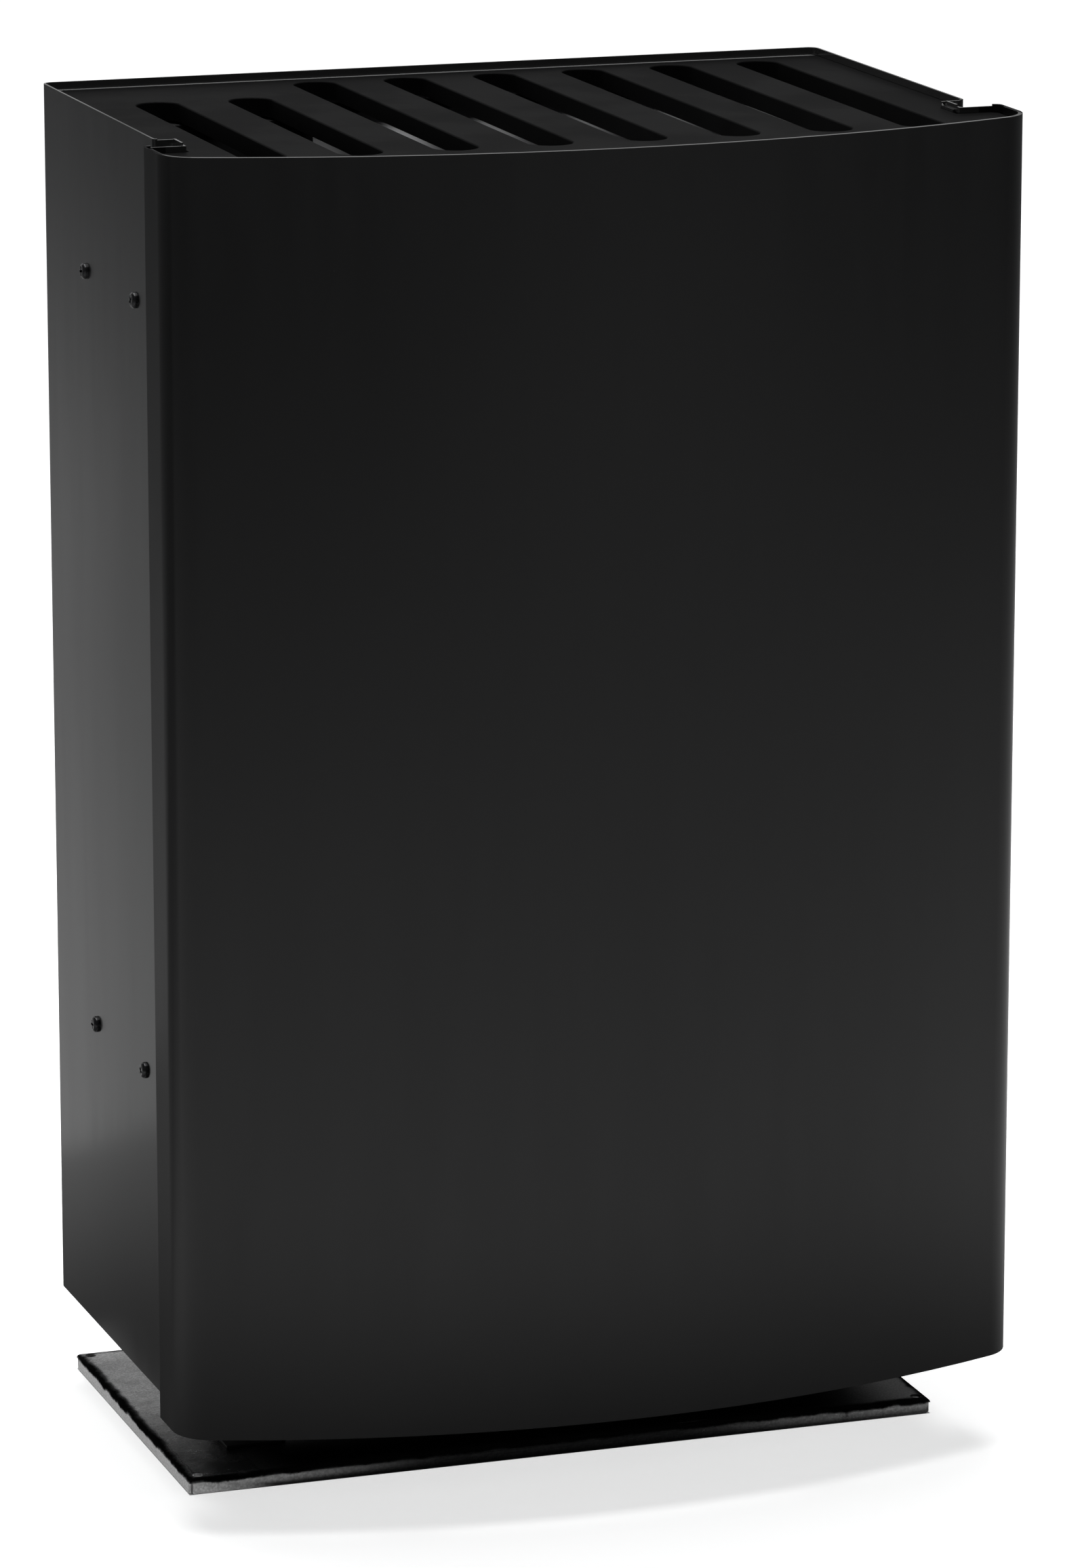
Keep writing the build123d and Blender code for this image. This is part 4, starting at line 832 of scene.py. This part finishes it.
# %% Trees that copy a shape on points
def sized_tree(name, sizes):
    """A node tree with geometry in and out and a named input for each size."""
    tree = bpy.data.node_groups.new(name, "GeometryNodeTree")
    for way in ("INPUT", "OUTPUT"):
        tree.interface.new_socket("Geometry", in_out=way, socket_type="NodeSocketGeometry")
    for size in sizes:
        tree.interface.new_socket(size, in_out="INPUT", socket_type="NodeSocketFloat")
    return tree, put(tree, "NodeGroupInput").outputs


def moved(tree, geometry, place, turn=(0.0, 0.0, 0.0)):
    """The geometry shifted to a place, and turned first."""
    return put(
        tree, "GeometryNodeTransform", Geometry=geometry, Translation=place, Rotation=turn
    ).outputs[0]


def drawn_in(tree, geometry, spot, share):
    """The geometry with every point drawn towards the Z axis by its share."""
    place = vector(tree, times(tree, spot[0], share), times(tree, spot[1], share), spot[2])
    return put(tree, "GeometryNodeSetPosition", Geometry=geometry, Position=place).outputs[0]


def random_turn(tree, turn, seed):
    """A rotation with a random quarter turn about its own axis added."""
    chance = tree.nodes.new("FunctionNodeRandomValue")
    chance.data_type = "FLOAT"
    chance.inputs[3].default_value = math.pi / 2
    chance.inputs["Seed"].default_value = seed
    spin = put(tree, "FunctionNodeEulerToRotation", Euler=vector(tree, z=chance.outputs[1]))
    both = put(tree, "FunctionNodeRotateRotation", Rotation=turn, Rotate_By=spin.outputs[0])
    both.rotation_space = "LOCAL"
    return both.outputs[0]


def on_points(tree, given, shape, material, seed=None):
    """Ends a tree: the shape on every point along its axis, made real, in its finish."""
    axis = tree.nodes.new("GeometryNodeInputNamedAttribute")
    axis.data_type = "FLOAT_VECTOR"
    axis.inputs["Name"].default_value = "axis"
    aim = put(tree, "FunctionNodeAlignRotationToVector", Vector=axis.outputs[0])
    aim.axis = "Z"
    turn = aim.outputs[0]
    if seed is not None:
        turn = random_turn(tree, turn, seed)
    copies = put(
        tree, "GeometryNodeInstanceOnPoints", Points=given["Geometry"], Instance=shape,
        Rotation=turn,
    )
    real = put(tree, "GeometryNodeRealizeInstances", Geometry=copies.outputs[0])
    coated = put(
        tree, "GeometryNodeSetMaterial", Geometry=real.outputs[0], Material=material
    )
    put(tree, "NodeGroupOutput", Geometry=coated.outputs[0])


def grow(name, tree, sizes, places, axes):
    """Runs a tree on points and returns the copies as one plain mesh."""
    dots = bpy.data.meshes.new(name + "_dots")
    dots.from_pydata(places, [], [])
    axis = dots.attributes.new("axis", "FLOAT_VECTOR", "POINT")
    axis.data.foreach_set("vector", [part for one in axes for part in one])
    maker = bpy.data.objects.new(name + "_dots", dots)
    modifier = maker.modifiers.new("copies", "NODES")
    modifier.node_group = tree
    for item in tree.interface.items_tree:
        if item.in_out == "INPUT" and item.name in sizes:
            modifier[item.identifier] = sizes[item.name]
    return weighted(baked(maker, name + "_copies"), name)


print("trees: sized_tree, on_points, grow")

# %% Screw and rivet trees
# Shares of the head's radius, and the seed of the turns.
bar_length = 1.1
bar_width = 0.28
dimple = 0.32
turn_seed = 7


def drum(tree, rim_points, radius, depth, middle, rings=1):
    """A cylinder on the Z axis, with its middle at that height."""
    made = put(
        tree, "GeometryNodeMeshCylinder", Vertices=rim_points, Side_Segments=rings,
        Radius=radius, Depth=depth,
    )
    return moved(tree, made.outputs["Mesh"], vector(tree, z=middle))


def fastener_tree(name, material, crown_start, crown_drop, crossed):
    """A turned head with a cross recess or a round dimple, on a plain shank. The crown
    starts at a share of the head's height and drops by a share of its width squared."""
    tree, given = sized_tree(
        name, ("Head Radius", "Head Height", "Shank Radius", "Shank Length")
    )
    radius = given["Head Radius"]
    height = given["Head Height"]
    length = given["Shank Length"]
    head = drum(tree, 32, radius, height, times(tree, height, 0.5), 8)
    spot = xyz(tree, put(tree, "GeometryNodeInputPosition").outputs[0])
    above = calc(tree, "SUBTRACT", calc(tree, "DIVIDE", spot[2], height), crown_start)
    crown = largest(tree, calc(tree, "DIVIDE", above, 1 - crown_start), 0.0)
    drop = times(tree, crown, crown, crown_drop)
    head = drawn_in(tree, head, spot, calc(tree, "SQRT", calc(tree, "SUBTRACT", 1.0, drop)))
    cut = put(tree, "GeometryNodeMeshBoolean")
    cut.operation = "DIFFERENCE"
    cut.solver = "EXACT"
    fill(tree, cut.inputs["Mesh 1"], head)
    if crossed:
        arm = vector(tree, times(tree, radius, bar_length), times(tree, radius, bar_width), height)
        bar = put(tree, "GeometryNodeMeshCube", Size=arm).outputs["Mesh"]
        for turn in (0.0, math.pi / 2):
            crossbar = moved(tree, bar, vector(tree, z=height), (0.0, 0.0, turn))
            fill(tree, cut.inputs["Mesh 2"], crossbar)
    else:
        drill = drum(tree, 20, times(tree, radius, dimple), height, height)
        fill(tree, cut.inputs["Mesh 2"], drill)
    shank = drum(tree, 20, given["Shank Radius"], length, times(tree, length, -0.5))
    whole = tree.nodes.new("GeometryNodeJoinGeometry")
    for part in (cut.outputs["Mesh"], shank):
        fill(tree, whole.inputs[0], part)
    on_points(tree, given, whole.outputs[0], material, turn_seed)
    return tree


pan_crown = (0.3, 0.6)
rivet_crown = (0.0, 0.85)
pan_screw = fastener_tree("pan_screw", finishes["screw_black"], *pan_crown, True)
blind_rivet = fastener_tree("blind_rivet", finishes["screw_black"], *rivet_crown, False)
steel_screw = fastener_tree("steel_screw", finishes["bright_steel"], *pan_crown, True)
print("trees:", pan_screw.name, blind_rivet.name, steel_screw.name)

# %% Read the places from the frame and set the fasteners
def loose_boxes(node_name):
    """Lowest and highest corner of every solid in a node."""
    shape = merged(node_name)
    boxes = [box_of(group) for group in islands(shape)]
    shape.free()
    return sorted(boxes, key=lambda box: tuple(round(value, 4) for value in box[0]))


def fasten(node_name, tree, axis_index, head_way, head_height, shank_radius):
    """Sets a tree's fasteners where the node's solids lie. head_way is 1 or -1, or None
    where each head looks out from the middle."""
    places = []
    axes = []
    for low_corner, high_corner in loose_boxes(node_name):
        size = high_corner - low_corner
        way = head_way or (1 if low_corner[axis_index] > 0 else -1)
        place = (low_corner + high_corner) / 2
        end = high_corner if way > 0 else low_corner
        place[axis_index] = end[axis_index] - way * head_height
        places.append(place)
        axes.append([way if i == axis_index else 0.0 for i in range(3)])
    sizes = {
        "Head Radius": size[axis_index - 1] / 2, "Head Height": head_height,
        "Shank Radius": shank_radius, "Shank Length": size[axis_index] - head_height,
    }
    name = node_name + "_turned"
    piece = bpy.data.objects.new(name, grow(name, tree, sizes, places, axes))
    settle(piece, [node_name])
    print(name, len(places), "copies,", len(piece.data.polygons), "faces")


# Node, tree, axis, way of the heads, head height and shank radius.
fasten("side_screws", pan_screw, 0, None, 0.0029, 0.002)
fasten("cover_rivets", blind_rivet, 0, None, 0.001, 0.0016)
fasten("stand_screws", pan_screw, 2, -1, 0.003, 0.002)
fasten("cup_screws", pan_screw, 1, 1, 0.0016, 0.0015)
fasten("motor_screws", steel_screw, 1, -1, 0.003, 0.002)

# %% [markdown]
# ## Contact blades
# The mains inlet is a moulded mouth with three flat pins standing in it. A pin
# is a bar whose end is drawn in, so that a socket finds it.

# %% Contact blades in the inlet
pin_tip = (0.8, 1.05, 1.0, 0.4)
pin_seat = 0.002
tree, given = sized_tree("contact_blade", ("Width", "Height", "Length"))
length = given["Length"]
size = vector(tree, given["Width"], given["Height"], length)
bar = put(tree, "GeometryNodeMeshCube", Size=size, Vertices_Z=8).outputs["Mesh"]
bar = moved(tree, bar, vector(tree, z=times(tree, length, 0.5)))
spot = xyz(tree, put(tree, "GeometryNodeInputPosition").outputs[0])
narrow = fade(tree, calc(tree, "DIVIDE", spot[2], length), *pin_tip)
on_points(tree, given, drawn_in(tree, bar, spot, narrow), finishes["blade_nickel"])
inlet_low, inlet_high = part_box("power_inlet")
mouth = (inlet_low + inlet_high) / 2
root = inlet_low.y + pin_seat
offsets = ((-0.007, -0.002), (0.0, 0.002), (0.007, -0.002))
pins = [(mouth.x + across, root, mouth.z + up) for across, up in offsets]
outward = [(0.0, 1.0, 0.0)] * len(pins)
sizes = {"Width": 0.002, "Height": 0.004, "Length": 0.011}
mesh = grow("contact_blades", tree, sizes, pins, outward)
blades = bpy.data.objects.new("contact_blades", mesh)
scene.collection.objects.link(blades)
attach(blades, "cabinet")
print("contact_blades:", len(mesh.polygons), "faces")

# %% [markdown]
# ## Pointer paint
# The knob has a raised bar that shows where it stands, and its top is filled with
# pale paint. The paint is a thin slab a little smaller than the bar, set on it and
# rounded at its edges, so it turns with the knob.

# %% Paint on the knob's pointer
knob_low, knob_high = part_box("speed_knob")
knob_middle = (knob_low + knob_high) / 2
pointer_size = Vector((0.0012, 0.0003, 0.009))
pointer_lift = 0.007
pointer_edge = 0.0001
pointer_place = Vector((knob_middle.x, knob_high.y, knob_middle.z + pointer_lift))
slab = Matrix.Translation(pointer_place) @ Matrix.Diagonal((*pointer_size, 1.0))
shape = bmesh.new()
bmesh.ops.create_cube(shape, size=1.0, matrix=slab)
bmesh.ops.bevel(
    shape, geom=shape.edges[:], offset=pointer_edge, segments=2, profile=0.5, affect="EDGES"
)
mesh = mesh_of(shape, "pointer_paint")
mesh.materials.append(finishes["frame_white"])
pointer = bpy.data.objects.new("pointer_paint", mesh)
scene.collection.objects.link(pointer)
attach(pointer, body_of_node["speed_knob"])
print("pointer_paint:", len(mesh.polygons), "faces")

# %% [markdown]
# ## Carbon fleece
# The mat behind the cassette's bars is a loose fleece. It is pressed in along
# every bar and swells a little in the bays between them, and its cut rim is
# soft. It is one closed skin: two grids, front and rear, joined round the rim.
# The rear grid is pushed in by a smooth dip for each bar.

# %% The fleece's surface
mat_low, mat_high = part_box("carbon_mat")
mat_size = mat_high - mat_low
mat_middle = (mat_low + mat_high) / 2
column_pitch = 0.076
row_pitch = 0.0695
bar_columns = [(step - 1.5) * column_pitch for step in range(4)]
bar_rows = [mat_middle.z + step * row_pitch for step in range(-3, 4)]
dip_width = 0.007
dip_depth = 0.0022
rim_depth = 0.0042
rim_width = 0.0035
front_gap = 0.0002
rear_gap = 0.0005
ripple = 0.00018


def dip(value, bars):
    """How far the nearest bar presses in, from 0 to 1."""
    return max(math.exp(-(((value - bar) / dip_width) ** 2)) for bar in bars)


def mat_point(across, up, rear):
    """A point of the mat's skin, pressed in along the bars and round the rim."""
    x = mat_low.x + mat_size.x * across
    z = mat_low.z + mat_size.z * up
    rim = min(x - mat_low.x, mat_high.x - x, z - mat_low.z, mat_high.z - z)
    soft = rim_depth * math.exp(-rim / rim_width)
    if not rear:
        return x, mat_low.y + front_gap + soft, z
    pressed = max(dip(x, bar_columns), dip(z, bar_rows))
    uneven = math.sin(x * 310 + 2 * math.sin(z * 170)) + math.sin(z * 260 + 2 * math.sin(x * 140))
    return x, mat_high.y - rear_gap - dip_depth * pressed - soft + ripple * uneven, z


print("bars over the mat:", len(bar_columns), "by", len(bar_rows))

# %% Fleece mat
columns = 94
rows = 138
sides = (False, True)
shape = bmesh.new()
skin = {
    (i, j, rear): shape.verts.new(mat_point(i / columns, j / rows, rear))
    for rear in sides for j in range(rows + 1) for i in range(columns + 1)
}
corners = ((0, 0), (1, 0), (1, 1), (0, 1))
for j in range(rows):
    for i in range(columns):
        for rear in sides:
            shape.faces.new([skin[i + a, j + b, rear] for a, b in corners])
border = [(i, 0) for i in range(columns)] + [(columns, j) for j in range(rows)]
border += [(i, rows) for i in range(columns, 0, -1)] + [(0, j) for j in range(rows, 0, -1)]
for here, there in zip(border, border[1:] + border[:1]):
    front = [skin[(*here, False)], skin[(*there, False)]]
    shape.faces.new(front + [skin[(*there, True)], skin[(*here, True)]])
bmesh.ops.recalc_face_normals(shape, faces=shape.faces)
for face in shape.faces:
    face.smooth = True
mesh = mesh_of(shape, "carbon_fleece")
mesh.materials.append(finishes["carbon_black"])
fleece = bpy.data.objects.new("carbon_fleece", mesh)
settle(fleece, ["carbon_mat"])
print("carbon_fleece:", len(mesh.polygons), "faces")

# %% [markdown]
# ## Foam seal
# A strip of closed-cell foam runs round the front of the cassette and is pressed
# on the fan deck when the door shuts. Its edges are rounded far more than those
# of a sheet.

# %% Foam seal
seal = rounded("filter_seal", 0.0014, "foam")

# %% [markdown]
# ## Pull strap
# A flat webbing strap is sewn down at both ends and pulls the cassette out. It is
# swept along its length from one rounded section. The ends are folded over, so
# they are thicker, and a square of stitches holds each one.

# %% Strap
strap_low, strap_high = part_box("filter_strap")
strap_half = (strap_high.x - strap_low.x) / 2
single = 0.0007
double = 0.00105
fold = 0.026
fold_slope = 0.002
seat_gap = 0.00005
seat = strap_low.y + seat_gap
side_gap = 0.0003
end_gap = 0.0004
corner_share = 0.3
steps = 120


def strap_ring(z):
    """A section of the strap at that height, thicker where the end is folded over."""
    inset = min(z - strap_low.z, strap_high.z - z)
    unfolded = min(max((inset - fold) / fold_slope, 0.0), 1.0)
    thick = double + (single - double) * unfolded
    corner = corner_share * thick
    half = strap_half - side_gap
    flat = half - corner
    under = [(-half, corner), (-flat, 0.0), (0.0, 0.0), (flat, 0.0), (half, corner)]
    over = [(x, thick - y) for x, y in reversed(under)]
    return [(x, seat + y, z) for x, y in under + over]


run = strap_high.z - strap_low.z - 2 * end_gap
levels = [strap_low.z + end_gap + run * step / steps for step in range(steps + 1)]
shape = bmesh.new()
rings = [[shape.verts.new(spot) for spot in strap_ring(z)] for z in levels]
for under, over in zip(rings, rings[1:]):
    for k in range(len(under)):
        shape.faces.new([under[k], under[k - 1], over[k - 1], over[k]])
shape.faces.new(rings[0])
shape.faces.new(list(reversed(rings[-1])))
bmesh.ops.recalc_face_normals(shape, faces=shape.faces)
mesh = mesh_of(shape, "pull_strap")
mesh.materials.append(finishes["strap_grey"])
strap = bpy.data.objects.new("pull_strap", weighted(mesh, "pull_strap"))
settle(strap, ["filter_strap"])
print("pull_strap:", len(strap.data.polygons), "faces")

# %% Stitches on the strap
stitch_margin = 0.004
side_margin = 0.0035
stitch_sink = 0.00005
per_side = 8
along = (0.0, 0.0, 1.0)
across = (1.0, 0.0, 0.0)

tree, given = sized_tree("stitch", ("Length", "Thickness"))
bead = put(tree, "GeometryNodeMeshUVSphere", Segments=6, Rings=4, Radius=0.5).outputs["Mesh"]
stretch = vector(tree, given["Thickness"], given["Thickness"], given["Length"])
thread = put(tree, "GeometryNodeTransform", Geometry=bead, Scale=stretch)
on_points(tree, given, thread.outputs[0], finishes["thread_grey"])

face = seat + double - stitch_sink
half = strap_half - side_margin
places = []
axes = []
for end, way in ((strap_low.z, 1), (strap_high.z, -1)):
    near = end + way * stitch_margin
    far = end + way * (fold - stitch_margin)
    for step in range(per_side):
        share = (step + 0.5) / per_side
        places += [(x, face, near + (far - near) * share) for x in (-half, half)]
        places += [(-half + 2 * half * share, face, z) for z in (near, far)]
        axes += [along, along, across, across]
sizes = {"Length": 0.0018, "Thickness": 0.0005}
mesh = grow("strap_stitches", tree, sizes, places, axes)
stitches = bpy.data.objects.new("strap_stitches", mesh)
scene.collection.objects.link(stitches)
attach(stitches, body_of_node["filter_strap"])
print("strap_stitches:", len(places))
